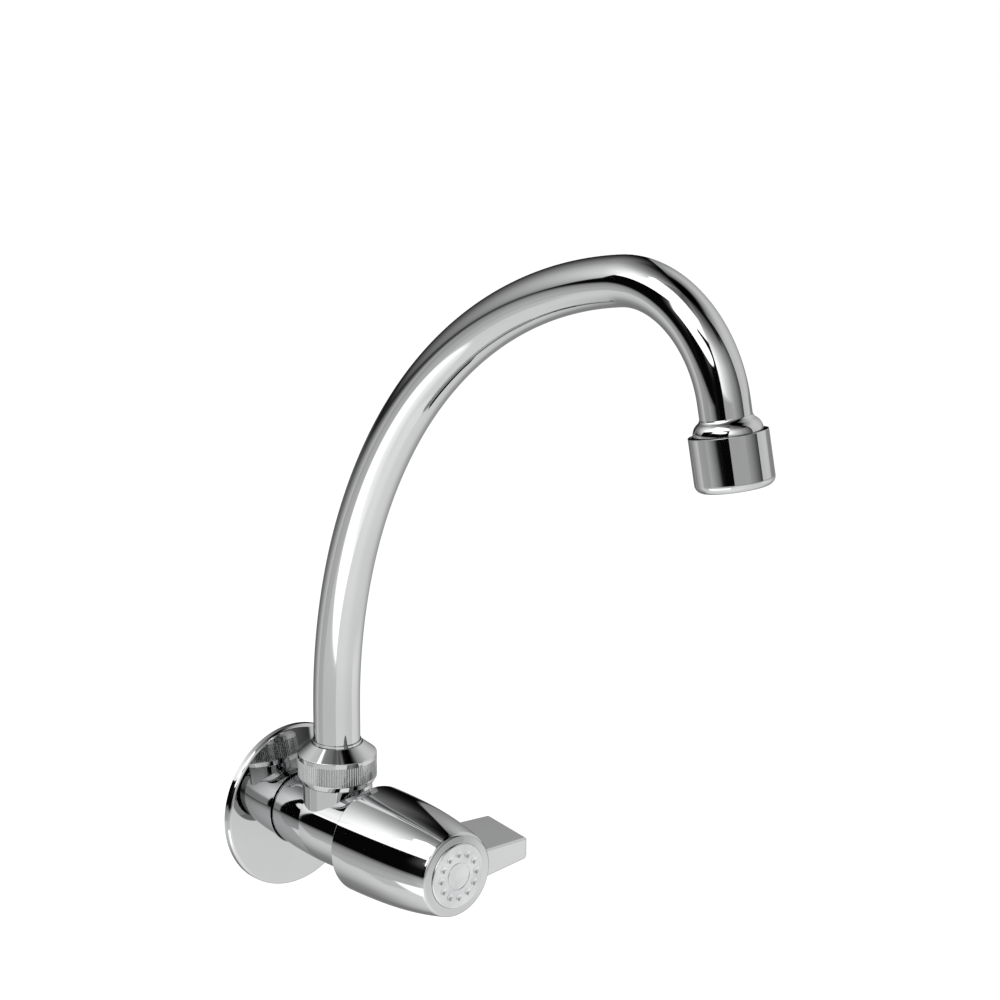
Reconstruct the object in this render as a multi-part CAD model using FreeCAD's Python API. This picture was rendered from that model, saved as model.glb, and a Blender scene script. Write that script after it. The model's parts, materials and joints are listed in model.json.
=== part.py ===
import FreeCAD, Part
import math
import os

# Wall-mounted kitchen faucet with a quarter-turn lever handle and a swivelling gooseneck spout.
# Millimetres. The origin is on the wall plane, on the axis of the horizontal body.
# +Y goes into the wall, -Y comes out into the room, +Z is up and +X is to the right for a person
# who faces the wall. "out" is always the distance from the wall, so out = -y.

Vector = FreeCAD.Vector

# ---------------------------------------------------------------- driving dimensions
# wall flange
FLANGE_RADIUS = 32.5
FLANGE_SHEET = 0.8
RIM_WALL_OUT = 1.8
RIM_ROUND = 1.5
RIM_TURN = 78.0
DOME_TOP_OUT = 5.9
FLANGE_HOLE_RADIUS = 14.25
FLANGE_LIP_OUT = 4.3
GRIP_RING_OUT = 2.2

# horizontal body
BODY_REAR_OUT = 0.8
BODY_REAR_RADIUS = 13.9
BODY_RADIUS = 15.9
FLARE_START_OUT = 5.6
FLARE_END_OUT = 33.2
BODY_FRONT_OUT = 56.0
CHAMBER_RADIUS = 12.2
CHAMBER_FRONT_OUT = 45.5
SEAT_OUT = 20.0
WATERWAY_RADIUS = 6.5
INLET_SOCKET_DEPTH_OUT = 10.2

# G1/2 inlet thread, 20.955 mm across
INLET_THREAD_RADIUS = 10.48
INLET_THREAD_LENGTH = 20.0
NIPPLE_BORE_RADIUS = 7.5

# spout boss with a G3/4 thread, 26.4 mm across
SPOUT_OUT = 29.5
BOSS_RADIUS = 13.4
BOSS_THREAD_RADIUS = 13.15
BOSS_SHOULDER_Z = 17.6
BOSS_TOP_Z = 27.0
STEM_JOURNAL_RADIUS = 9.5
STEM_FOOT_Z = 13.0
STEM_FLANGE_Z = 27.85
STEM_FLANGE_RADIUS = 12.2
STEM_RING_ZS = (16.4, 21.4)
SPOUT_CLEARANCE = 0.05
SPOUT_BORE_FLOOR_Z = 11.0

# knurled union nut
NUT_RADIUS = 15.2
NUT_BOTTOM_Z = 17.9
NUT_BOTTOM_RADIUS = 13.9
KNURL_BOTTOM_Z = 20.5
KNURL_TOP_Z = 27.6
KNURL_COUNT = 96
KNURL_DEPTH = 0.3
NUT_BAND_TOP_Z = 29.55
NUT_TOP_Z = 33.7
NUT_TOP_RADIUS = 9.95
NUT_HOLE_RADIUS = 9.55
NUT_SHOULDER_Z = 29.9
GUIDE_RING_TOP_Z = 34.8

# bent tube: straight foot, two large bends that run into each other, one tight bend, straight end
TUBE_RADIUS = 9.0
TUBE_WALL = 1.0
TUBE_FOOT_Z = 29.05
FIRST_BEND_Z = 46.0
TUBE_BENDS = ((207.5, 33.6), (193.2, 44.6), (42.3, 89.2))
TUBE_END_STRAIGHT = 10.4

# outlet bell and aerator, measured along the flow from the rim of the shell
BELL_RADIUS = 11.9
BELL_FOOT_ROUND = 2.2
BELL_SHOULDER_ROUND = 4.6
BELL_SHOULDER_END = -0.4
BELL_LEAN = 55.0
TUBE_SOCKET_DEPTH = 3.0
ADAPTER_END = 9.0
GASKET_THICKNESS = 1.5
SHELL_RADIUS = 13.65
SHELL_LENGTH = 18.8
SHELL_EDGE_RADIUS = 3.0
SHELL_THREAD_RADIUS = 12.05
SHELL_MOUTH_RADIUS = 12.6
SHELL_OUTLET_RADIUS = 10.3
SHELL_LIP_START = 16.9
AERATOR_BORE_RADIUS = 9.0
JET_COUNT = 16

# handle: a barrel that narrows towards the front, with a wing on its right side
HANDLE_REAR_OUT = 51.0
HANDLE_REAR_RADIUS = 21.05
HANDLE_CURVE = ((21.05, 66.97), (20.486, 82.635), (16.559, 98.303))
HANDLE_RIM = ((16.361, 98.665), (16.009, 98.879))
HANDLE_FACE_OUT = 99.85
HANDLE_CAVITY_RADIUS = 18.7
HANDLE_MOUTH_RADIUS = 17.4
HANDLE_MOUTH_DEPTH = 1.2
WING_TIP_X = 38.3
WING_BACK_OUT = 74.4
WING_FRONT_OUT = 96.4
WING_FRONT_SLANT = 0.076
WING_HALF_THICKNESS = 6.8
WING_TAPER_SIDEWAYS = 0.067
WING_TAPER_FORWARD = 0.121
WING_TIP_ROUND = 1.6
WING_EDGE_ROUND = 0.7
BUTTON_RADIUS = 12.6
BUTTON_FRONT_OUT = 100.45
BUTTON_EDGE_ROUND = 0.5
BUTTON_SEAT_OUT = 97.3
BUTTON_DIMPLES = 12
INSERT_START_OUT = 67.0
INSERT_RADIUS = 6.9
INSERT_FLAT = 6.1
HUB_RADIUS = 9.6
WEB_OUT = 83.0
HEAD_POCKET_RADIUS = 5.5
LEG_POCKET_OUT = 88.0
LEG_POCKET_RADIUS = 11.0

# valve cartridge
CAGE_RADIUS = 9.2
CAGE_BORE_RADIUS = 7.6
CAGE_START_OUT = 21.4
FIXED_DISC_OUT = 22.0
DISC_THICKNESS = 3.0
DISC_GAP = 0.05
PADDLE_HALF_WIDTH = 2.5
PADDLE_END_OUT = 33.0
JOURNAL_RADIUS = 6.0
JOURNAL_CLEARANCE = 0.05
BONNET_THREAD_RADIUS = 10.45
BONNET_FRONT_OUT = 64.0
BONNET_HEX_FLATS = 22.0
SPLINE_START_OUT = 66.0
SPLINE_END_OUT = 80.0
SPLINE_TEETH = 20
SPLINE_RADIUS = 4.0
SPLINE_ROOT_RADIUS = 3.65
SPINDLE_RING_OUTS = (43.0, 49.0)
SPINDLE_GROOVE_RADIUS = 4.55
CLIP_OUT = 64.3
CLIP_INNER_RADIUS = 5.2
CLIP_THICKNESS = 0.9
SCREW_RADIUS = 2.45

# ---------------------------------------------------------------- directions
UP = Vector(0, 0, 1)
ORIGIN = Vector(0, 0, 0)
BODY_AXIS = FreeCAD.Placement(ORIGIN, FreeCAD.Rotation(Vector(1, 0, 0), 90))
SPOUT_AXIS = FreeCAD.Placement(Vector(0, -SPOUT_OUT, 0), FreeCAD.Rotation())


# ---------------------------------------------------------------- small tools
def outline(start, *steps):
    """Closed face in a half plane of (radius, height).

    A step is the next point, (point between, end point) for an arc, or two poles and the end
    point for a cubic curve.
    """
    edges = []
    here = Vector(start[0], 0, start[1])
    for step in steps + (start,):
        if isinstance(step[0], tuple):
            stations = [here] + [Vector(radius, 0, height) for radius, height in step]
            there = stations[-1]
            if len(step) == 2:
                edges.append(Part.Arc(*stations).toShape())
            else:
                curve = Part.BezierCurve()
                curve.setPoles(stations)
                edges.append(curve.toShape())
        else:
            there = Vector(step[0], 0, step[1])
            if there.distanceToPoint(here) > 1e-6:
                edges.append(Part.LineSegment(here, there).toShape())
        here = there
    return Part.Face(Part.Wire(edges))


def turned(axis, start, *steps):
    """Solid of revolution of an outline about its own height axis, set on a placement."""
    solid = outline(start, *steps).revolve(ORIGIN, UP, 360)
    solid.Placement = axis
    return solid


def tube_ring(axis, inner, outer, low, high):
    """Plain ring or sleeve."""
    return turned(axis, (inner, low), (outer, low), (outer, high), (inner, high))


def rod(axis, radius, low, high):
    """Plain cylinder between two heights on an axis."""
    solid = Part.makeCylinder(radius, high - low, Vector(0, 0, low))
    solid.Placement = axis.multiply(solid.Placement)
    return solid


def block(axis, half_x, half_y, low, high):
    """Box centred on an axis."""
    solid = Part.makeBox(2 * half_x, 2 * half_y, high - low, Vector(-half_x, -half_y, low))
    solid.Placement = axis.multiply(solid.Placement)
    return solid


def prism(axis, points, low, high):
    """Straight prism over a closed polygon of (x, y) points."""
    corners = [Vector(x, y, low) for x, y in points]
    face = Part.Face(Part.makePolygon(corners + corners[:1]))
    solid = face.extrude(Vector(0, 0, high - low))
    solid.Placement = axis.multiply(solid.Placement)
    return solid


def polar(radius, degrees):
    """Point at a radius and an angle."""
    angle = math.radians(degrees)
    return (radius * math.cos(angle), radius * math.sin(angle))


def regular(sides, across_flats, turn=0.0):
    """Corners of a regular polygon of a given size across its flats."""
    corner = across_flats / 2 / math.cos(math.pi / sides)
    return [polar(corner, turn + 360 * k / sides) for k in range(sides)]


def torus_at(axis, major, minor, height):
    """O-ring lying square to an axis."""
    ring = Part.makeTorus(major, minor, Vector(0, 0, height))
    ring.Placement = axis.multiply(ring.Placement)
    return ring


def sector(inner, outer, middle_degrees, half_degrees, low, high):
    """Part of a ring between two angles, on the plain axis."""
    first = middle_degrees - half_degrees
    last = middle_degrees + half_degrees
    outer_points = [Vector(*polar(outer, a), low) for a in (first, middle_degrees, last)]
    inner_points = [Vector(*polar(inner, a), low) for a in (last, middle_degrees, first)]
    edges = [Part.Arc(*outer_points).toShape(),
             Part.LineSegment(outer_points[2], inner_points[0]).toShape(),
             Part.Arc(*inner_points).toShape(),
             Part.LineSegment(inner_points[2], outer_points[0]).toShape()]
    return Part.Face(Part.Wire(edges)).extrude(Vector(0, 0, high - low))


def placed(shape, axis):
    """The shape carried from the plain axis onto a placement."""
    shape.Placement = axis.multiply(shape.Placement)
    return shape


# ---------------------------------------------------------------- wall side
def rim_point(degrees):
    """Point of the flange's rounded rim, from its side wall at 0 to the dome at RIM_TURN."""
    inward, outward = polar(RIM_ROUND, degrees)
    return (FLANGE_RADIUS - RIM_ROUND + inward, RIM_WALL_OUT + outward)


def dome_out(radius, depth=0.0):
    """Distance of the flange's domed face from the wall at a radius; depth goes into the sheet."""
    foot, foot_out = rim_point(RIM_TURN)
    rise = DOME_TOP_OUT - foot_out
    dome_radius = (foot ** 2 - FLANGE_HOLE_RADIUS ** 2) / (2 * rise) + rise / 2
    centre = foot_out - math.sqrt(dome_radius ** 2 - foot ** 2)
    return centre + math.sqrt((dome_radius - depth) ** 2 - radius ** 2)


def wall_escutcheon():
    """Pressed domed flange: plain side wall, rounded rim, centre hole with its edge turned in."""
    foot = rim_point(RIM_TURN)[0]
    middle = (foot + FLANGE_HOLE_RADIUS) / 2
    hole = FLANGE_HOLE_RADIUS
    hole_back = hole + FLANGE_SHEET
    turn_in = 0.5
    back_edge = FLANGE_RADIUS - 1.2
    back_foot = back_edge - 0.7
    return turned(
        BODY_AXIS,
        (FLANGE_RADIUS, 0),
        (FLANGE_RADIUS, RIM_WALL_OUT),
        (rim_point(RIM_TURN / 2), rim_point(RIM_TURN)),
        ((middle, dome_out(middle)), (hole + turn_in, dome_out(hole + turn_in))),
        ((hole + 0.14, DOME_TOP_OUT - 0.16), (hole, DOME_TOP_OUT - turn_in)),
        (hole, FLANGE_LIP_OUT),
        (hole_back, FLANGE_LIP_OUT),
        (hole_back, dome_out(hole_back, FLANGE_SHEET)),
        ((middle, dome_out(middle, FLANGE_SHEET)), (back_foot, dome_out(back_foot, FLANGE_SHEET))),
        (back_edge, RIM_WALL_OUT),
        (back_edge, 0),
    )


def escutcheon_grip_ring():
    """Rubber ring that grips the body behind the flange."""
    return tube_ring(BODY_AXIS, BODY_REAR_RADIUS, FLANGE_HOLE_RADIUS + 2.0, GRIP_RING_OUT, FLANGE_LIP_OUT)


def valve_body():
    """Horizontal body with its flare, the spout boss and all its bores."""
    flare_middle_out = (FLARE_START_OUT + FLARE_END_OUT) / 2
    flare_middle_radius = BODY_REAR_RADIUS + 0.75 * (BODY_RADIUS - BODY_REAR_RADIUS)
    edge = 0.5
    barrel = turned(
        BODY_AXIS,
        (0, BODY_REAR_OUT),
        (BODY_REAR_RADIUS - edge, BODY_REAR_OUT),
        (BODY_REAR_RADIUS, BODY_REAR_OUT + edge),
        (BODY_REAR_RADIUS, FLARE_START_OUT),
        ((flare_middle_radius, flare_middle_out), (BODY_RADIUS, FLARE_END_OUT)),
        (BODY_RADIUS, BODY_FRONT_OUT - edge),
        (BODY_RADIUS - edge, BODY_FRONT_OUT),
        (0, BODY_FRONT_OUT),
    )
    boss = turned(
        SPOUT_AXIS,
        (0, 0),
        (BOSS_RADIUS, 0),
        (BOSS_RADIUS, BOSS_SHOULDER_Z),
        (BOSS_THREAD_RADIUS, BOSS_SHOULDER_Z),
        (BOSS_THREAD_RADIUS, BOSS_TOP_Z - edge),
        (BOSS_THREAD_RADIUS - edge, BOSS_TOP_Z),
        (0, BOSS_TOP_Z),
    )
    socket_radius = INLET_THREAD_RADIUS + 0.02
    bonnet_bore = BONNET_THREAD_RADIUS + 0.05
    seal_recess = 12.6
    seal_recess_depth = 1.8
    bores = turned(
        BODY_AXIS,
        (0, 0),
        (socket_radius, 0),
        (socket_radius, INLET_SOCKET_DEPTH_OUT),
        (WATERWAY_RADIUS, INLET_SOCKET_DEPTH_OUT),
        (WATERWAY_RADIUS, SEAT_OUT),
        (CHAMBER_RADIUS, SEAT_OUT),
        (CHAMBER_RADIUS, CHAMBER_FRONT_OUT),
        (bonnet_bore, CHAMBER_FRONT_OUT),
        (bonnet_bore, BODY_FRONT_OUT - seal_recess_depth),
        (seal_recess, BODY_FRONT_OUT - seal_recess_depth),
        (seal_recess, BODY_FRONT_OUT + 1),
        (0, BODY_FRONT_OUT + 1),
    )
    spout_bore = rod(SPOUT_AXIS, STEM_JOURNAL_RADIUS + SPOUT_CLEARANCE, SPOUT_BORE_FLOOR_Z, BOSS_TOP_Z + 1)
    return barrel.fuse(boss).cut(bores).cut(spout_bore).removeSplitter()


def inlet_nipple():
    """Threaded nipple: one end in the body, the other in the wall fitting."""
    relief_radius = INLET_THREAD_RADIUS - 1.1
    relief_length = 2.5
    inner_end = INLET_SOCKET_DEPTH_OUT - 1.0
    chamfer = 1.0
    return turned(
        BODY_AXIS,
        (NIPPLE_BORE_RADIUS, -INLET_THREAD_LENGTH),
        (INLET_THREAD_RADIUS - chamfer, -INLET_THREAD_LENGTH),
        (INLET_THREAD_RADIUS, -INLET_THREAD_LENGTH + chamfer),
        (INLET_THREAD_RADIUS, 0),
        (relief_radius, 0),
        (relief_radius, relief_length),
        (INLET_THREAD_RADIUS, relief_length),
        (INLET_THREAD_RADIUS, inner_end),
        (NIPPLE_BORE_RADIUS, inner_end),
    )


def inlet_gasket():
    """Washer between the nipple and the bottom of its socket."""
    return tube_ring(BODY_AXIS, NIPPLE_BORE_RADIUS, INLET_THREAD_RADIUS - 0.1,
                     INLET_SOCKET_DEPTH_OUT - 1.0, INLET_SOCKET_DEPTH_OUT)


# ---------------------------------------------------------------- valve cartridge
def seat_seal():
    """Rubber seal between the seat in the body and the fixed disc."""
    inner = 5.0
    return turned(
        BODY_AXIS,
        (inner, SEAT_OUT),
        (CAGE_RADIUS - 0.5, SEAT_OUT),
        (CAGE_RADIUS - 0.5, CAGE_START_OUT),
        (CAGE_BORE_RADIUS - 0.2, CAGE_START_OUT),
        (CAGE_BORE_RADIUS - 0.2, FIXED_DISC_OUT),
        (inner, FIXED_DISC_OUT),
    )


def ceramic_disc(radius, start_out, window_degrees):
    """Ceramic disc with two facing windows."""
    end_out = start_out + DISC_THICKNESS
    disc = Part.makeCylinder(radius, DISC_THICKNESS, Vector(0, 0, start_out))
    window_inner = 1.8
    window_outer = 6.2
    for middle in (window_degrees, window_degrees + 180):
        disc = disc.cut(sector(window_inner, window_outer, middle, 38, start_out - 1, end_out + 1))
    return disc


def fixed_ceramic_disc():
    """Disc that stays still, with its windows above and below."""
    return placed(ceramic_disc(CAGE_BORE_RADIUS - 0.1, FIXED_DISC_OUT, 90), BODY_AXIS)


def moving_disc_out():
    """Distance of the moving disc's rear face from the wall."""
    return FIXED_DISC_OUT + DISC_THICKNESS + DISC_GAP


def moving_ceramic_disc():
    """Disc that turns with the stem; its windows stand crosswise to the fixed ones when closed."""
    start = moving_disc_out()
    disc = ceramic_disc(CAGE_BORE_RADIUS - 0.3, start, 0)
    slot_depth = 1.2
    slot_half_width = 1.6
    end = start + DISC_THICKNESS
    slot = block(FreeCAD.Placement(), slot_half_width, CAGE_BORE_RADIUS, end - slot_depth, end + 1)
    return placed(disc.cut(slot), BODY_AXIS)


def cartridge_bonnet():
    """Brass cartridge housing: windowed cage, thread, flange, hexagon and neck."""
    bore = JOURNAL_RADIUS + JOURNAL_CLEARANCE
    flange_radius = 13.9
    flange_top = BODY_FRONT_OUT + 1.8
    hex_top = 61.5
    neck_radius = 8.2
    shoulder_out = PADDLE_END_OUT + 0.5
    housing = turned(
        BODY_AXIS,
        (CAGE_BORE_RADIUS, CAGE_START_OUT),
        (CAGE_RADIUS, CAGE_START_OUT),
        (CAGE_RADIUS, CHAMBER_FRONT_OUT),
        (BONNET_THREAD_RADIUS, CHAMBER_FRONT_OUT + 0.6),
        (BONNET_THREAD_RADIUS, BODY_FRONT_OUT),
        (flange_radius, BODY_FRONT_OUT),
        (flange_radius, flange_top),
        (neck_radius, flange_top),
        (neck_radius, BONNET_FRONT_OUT),
        (bore, BONNET_FRONT_OUT),
        (bore, shoulder_out),
        (CAGE_BORE_RADIUS, shoulder_out),
    )
    hexagon = prism(BODY_AXIS, regular(6, BONNET_HEX_FLATS), flange_top, hex_top)
    hexagon = hexagon.cut(rod(BODY_AXIS, bore, flange_top - 1, hex_top + 1))
    window_start = moving_disc_out() + 1.5
    windows = block(BODY_AXIS, 5.5, CAGE_RADIUS + 2, window_start, PADDLE_END_OUT)
    core = rod(BODY_AXIS, CAGE_BORE_RADIUS - 0.6, window_start - 1, PADDLE_END_OUT + 1)
    return housing.fuse(hexagon).cut(windows.cut(core)).removeSplitter()


def bonnet_oring():
    """Ring that seals the bonnet against the front of the body."""
    ring_radius = 11.6
    cord_radius = 0.88
    return torus_at(BODY_AXIS, ring_radius, cord_radius, BODY_FRONT_OUT - 0.9)


def spline_points(root, tip, tooth_share):
    """Closed outline of a straight-sided spline."""
    pitch = 360 / SPLINE_TEETH
    points = []
    for tooth in range(SPLINE_TEETH):
        middle = tooth * pitch
        for radius, offset in ((root, -0.5), (tip, -tooth_share / 2), (tip, tooth_share / 2)):
            points.append(polar(radius, middle + offset * pitch))
    return points


def spindle():
    """Brass stem: paddle in the moving disc, journal with ring grooves, splined nose."""
    disc_front = moving_disc_out() + DISC_THICKNESS
    journal = turned(
        BODY_AXIS,
        (0, PADDLE_END_OUT - 1),
        (JOURNAL_RADIUS, PADDLE_END_OUT - 1),
        (JOURNAL_RADIUS, SPLINE_START_OUT - 0.5),
        (JOURNAL_RADIUS - 0.5, SPLINE_START_OUT),
        (0, SPLINE_START_OUT),
    )
    half_groove = 0.95
    for middle in SPINDLE_RING_OUTS:
        journal = journal.cut(tube_ring(BODY_AXIS, SPINDLE_GROOVE_RADIUS, JOURNAL_RADIUS + 1,
                                        middle - half_groove, middle + half_groove))
    clip_groove = tube_ring(BODY_AXIS, CLIP_INNER_RADIUS, JOURNAL_RADIUS + 1,
                            CLIP_OUT, CLIP_OUT + CLIP_THICKNESS)
    paddle = block(BODY_AXIS, PADDLE_HALF_WIDTH, CAGE_BORE_RADIUS - 0.6, disc_front, PADDLE_END_OUT)
    tongue = block(BODY_AXIS, 1.55, CAGE_BORE_RADIUS - 0.9, disc_front - 1.1, disc_front)
    nose = prism(BODY_AXIS, spline_points(SPLINE_ROOT_RADIUS, SPLINE_RADIUS, 0.45),
                 SPLINE_START_OUT, SPLINE_END_OUT)
    screw_hole = rod(BODY_AXIS, SCREW_RADIUS + 0.05, SPLINE_START_OUT + 2, SPLINE_END_OUT + 1)
    solid = journal.cut(clip_groove).fuse(paddle).fuse(tongue).fuse(nose)
    return solid.cut(screw_hole).removeSplitter()


def spindle_orings():
    """Two rings in the grooves of the stem."""
    ring_radius = 5.28
    cord_radius = 0.72
    rings = [torus_at(BODY_AXIS, ring_radius, cord_radius, middle) for middle in SPINDLE_RING_OUTS]
    return Part.makeCompound(rings)


def spindle_thrust_washer():
    """Slip washer between the paddle and the step in the bonnet."""
    return tube_ring(BODY_AXIS, JOURNAL_RADIUS, CAGE_BORE_RADIUS - 0.1, PADDLE_END_OUT, PADDLE_END_OUT + 0.45)


def spindle_circlip():
    """Open retaining clip in front of the bonnet."""
    clip = tube_ring(FreeCAD.Placement(), CLIP_INNER_RADIUS, 7.5, CLIP_OUT, CLIP_OUT + CLIP_THICKNESS)
    gap = sector(4.0, 9.0, -90, 28, CLIP_OUT - 1, CLIP_OUT + CLIP_THICKNESS + 1)
    return placed(clip.cut(gap), BODY_AXIS)


# ---------------------------------------------------------------- handle
def insert_body(radius, flat, low, high):
    """Round bar with two flats, for the insert and for its seat."""
    bar = rod(BODY_AXIS, radius, low, high)
    return bar.common(block(BODY_AXIS, flat, radius + 1, low, high))


def spline_insert():
    """Moulded insert with the female spline."""
    body = insert_body(INSERT_RADIUS, INSERT_FLAT, INSERT_START_OUT, SPLINE_END_OUT)
    hole = prism(BODY_AXIS, spline_points(SPLINE_ROOT_RADIUS + 0.03, SPLINE_RADIUS + 0.03, 0.5),
                 INSERT_START_OUT - 1, SPLINE_END_OUT + 1)
    return body.cut(hole)


def wing_half_thickness(x, out):
    """Half thickness of the wing, which thins towards its tip and towards the front."""
    return (WING_HALF_THICKNESS - WING_TAPER_SIDEWAYS * (x - WING_TIP_X)
            - WING_TAPER_FORWARD * (out - WING_BACK_OUT))


def wing_section(x):
    """Four-sided section of the wing across x."""
    front = WING_FRONT_OUT - WING_FRONT_SLANT * (x - WING_TIP_X)
    back_half = wing_half_thickness(x, WING_BACK_OUT)
    front_half = wing_half_thickness(x, front)
    corners = [Vector(x, -WING_BACK_OUT, back_half), Vector(x, -front, front_half),
               Vector(x, -front, -front_half), Vector(x, -WING_BACK_OUT, -back_half)]
    return Part.makePolygon(corners + corners[:1])


def handle_wing():
    """Wedge-shaped wing with rounded edges; its root is hidden in the barrel."""
    root_x = 8.0
    wedge = Part.makeLoft([wing_section(root_x), wing_section(WING_TIP_X)], True, True)
    corners = []
    for edge in wedge.Edges:
        box = edge.BoundBox
        upright = box.XLength < 0.01 and box.YLength < 0.01
        if upright and box.XMax > WING_TIP_X - 0.01:
            corners.append(edge)
    rounded = wedge.makeFillet(WING_TIP_ROUND, corners)
    top_edges = []
    for edge in rounded.Edges:
        box = edge.BoundBox
        level = box.ZMin > 0.5 or box.ZMax < -0.5
        at_root = box.XMax < root_x + 0.01
        if level and not at_root:
            top_edges.append(edge)
    return rounded.makeFillet(WING_EDGE_ROUND, top_edges)


def lever_handle():
    """One casting: hollow barrel with a lip round its mouth, hub, button pocket and wing."""
    cavity_step_out = 66.0
    cavity_end_radius = 14.2
    barrel = turned(
        BODY_AXIS,
        (0, HANDLE_REAR_OUT),
        (HANDLE_REAR_RADIUS - 0.3, HANDLE_REAR_OUT),
        (HANDLE_REAR_RADIUS, HANDLE_REAR_OUT + 0.3),
        HANDLE_CURVE,
        HANDLE_RIM,
        (BUTTON_RADIUS, HANDLE_FACE_OUT),
        (0, HANDLE_FACE_OUT),
    )
    cavity = turned(
        BODY_AXIS,
        (HUB_RADIUS, HANDLE_REAR_OUT - 1),
        (HANDLE_MOUTH_RADIUS, HANDLE_REAR_OUT - 1),
        (HANDLE_MOUTH_RADIUS, HANDLE_REAR_OUT + HANDLE_MOUTH_DEPTH),
        (HANDLE_CAVITY_RADIUS, HANDLE_REAR_OUT + HANDLE_MOUTH_DEPTH),
        (HANDLE_CAVITY_RADIUS, cavity_step_out),
        (cavity_end_radius + 1, WEB_OUT - 1),
        (cavity_end_radius, WEB_OUT),
        (HUB_RADIUS, WEB_OUT),
    )
    hub_clearance = rod(BODY_AXIS, HUB_RADIUS + 1, HANDLE_REAR_OUT - 1, SPLINE_START_OUT + 0.5)
    insert_seat = insert_body(INSERT_RADIUS + 0.02, INSERT_FLAT + 0.02,
                              SPLINE_START_OUT - 1, SPLINE_END_OUT + 0.02)
    screw_hole = rod(BODY_AXIS, SCREW_RADIUS + 0.3, SPLINE_END_OUT - 1, WEB_OUT + 1)
    pockets = turned(
        BODY_AXIS,
        (0, WEB_OUT),
        (HEAD_POCKET_RADIUS, WEB_OUT),
        (HEAD_POCKET_RADIUS, LEG_POCKET_OUT),
        (LEG_POCKET_RADIUS, LEG_POCKET_OUT),
        (LEG_POCKET_RADIUS, BUTTON_SEAT_OUT),
        (BUTTON_RADIUS + 0.1, BUTTON_SEAT_OUT),
        (BUTTON_RADIUS + 0.1, HANDLE_FACE_OUT + 1),
        (0, HANDLE_FACE_OUT + 1),
    )
    solid = barrel.fuse(handle_wing())
    for hollow in (cavity, hub_clearance, insert_seat, screw_hole, pockets):
        solid = solid.cut(hollow)
    return solid.removeSplitter()


def handle_screw():
    """Pan-head machine screw with a cross recess."""
    head_top = WEB_OUT + 2.6
    head_radius = 4.6
    recess_half_length = 2.3
    recess_half_width = 0.45
    screw = turned(
        BODY_AXIS,
        (0, SPLINE_START_OUT + 4),
        (SCREW_RADIUS - 0.4, SPLINE_START_OUT + 4),
        (SCREW_RADIUS, SPLINE_START_OUT + 4.5),
        (SCREW_RADIUS, WEB_OUT),
        (head_radius, WEB_OUT),
        ((head_radius - 0.5, WEB_OUT + 1.9), (head_radius - 2.4, head_top)),
        (0, head_top),
    )
    arms = ((recess_half_length, recess_half_width), (recess_half_width, recess_half_length))
    for half_x, half_y in arms:
        screw = screw.cut(block(BODY_AXIS, half_x, half_y, head_top - 1.5, head_top + 1))
    return screw


def index_button():
    """Snap-in button: rounded edge, a turned ring and a ring of round dimples."""
    leg_outer = LEG_POCKET_RADIUS - 0.05
    leg_inner = LEG_POCKET_RADIUS - 1.3
    front = BUTTON_FRONT_OUT
    edge = BUTTON_EDGE_ROUND
    corner = edge * (1 - math.cos(math.pi / 4))
    button = turned(
        BODY_AXIS,
        (0, BUTTON_SEAT_OUT),
        (leg_inner, BUTTON_SEAT_OUT),
        (leg_inner, LEG_POCKET_OUT + 1),
        (leg_outer, LEG_POCKET_OUT + 1),
        (leg_outer, BUTTON_SEAT_OUT),
        (BUTTON_RADIUS, BUTTON_SEAT_OUT),
        (BUTTON_RADIUS, front - edge),
        ((BUTTON_RADIUS - corner, front - corner), (BUTTON_RADIUS - edge, front)),
        (0, front),
    )
    dimple_circle = 8.6
    dimple_ball = 2.4
    dimple_depth = 0.5
    dimples = []
    for k in range(BUTTON_DIMPLES):
        x, y = polar(dimple_circle, 360 * k / BUTTON_DIMPLES)
        centre_out = front - dimple_depth + dimple_ball
        dimples.append(placed(Part.makeSphere(dimple_ball, Vector(x, y, centre_out)), BODY_AXIS))
    groove_inner = 5.0
    groove_outer = 5.5
    ring_groove = tube_ring(BODY_AXIS, groove_inner, groove_outer, front - 0.2, front + 1)
    return button.cut(dimples).cut(ring_groove)


# ---------------------------------------------------------------- spout foot
def knurl_points():
    """Outline of the knurled band: shallow straight grooves all round."""
    pitch = 360 / KNURL_COUNT
    points = []
    for k in range(KNURL_COUNT):
        middle = k * pitch
        points.append(polar(NUT_RADIUS, middle - 0.2 * pitch))
        points.append(polar(NUT_RADIUS, middle + 0.2 * pitch))
        points.append(polar(NUT_RADIUS - KNURL_DEPTH, middle + 0.5 * pitch))
    return points


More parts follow.
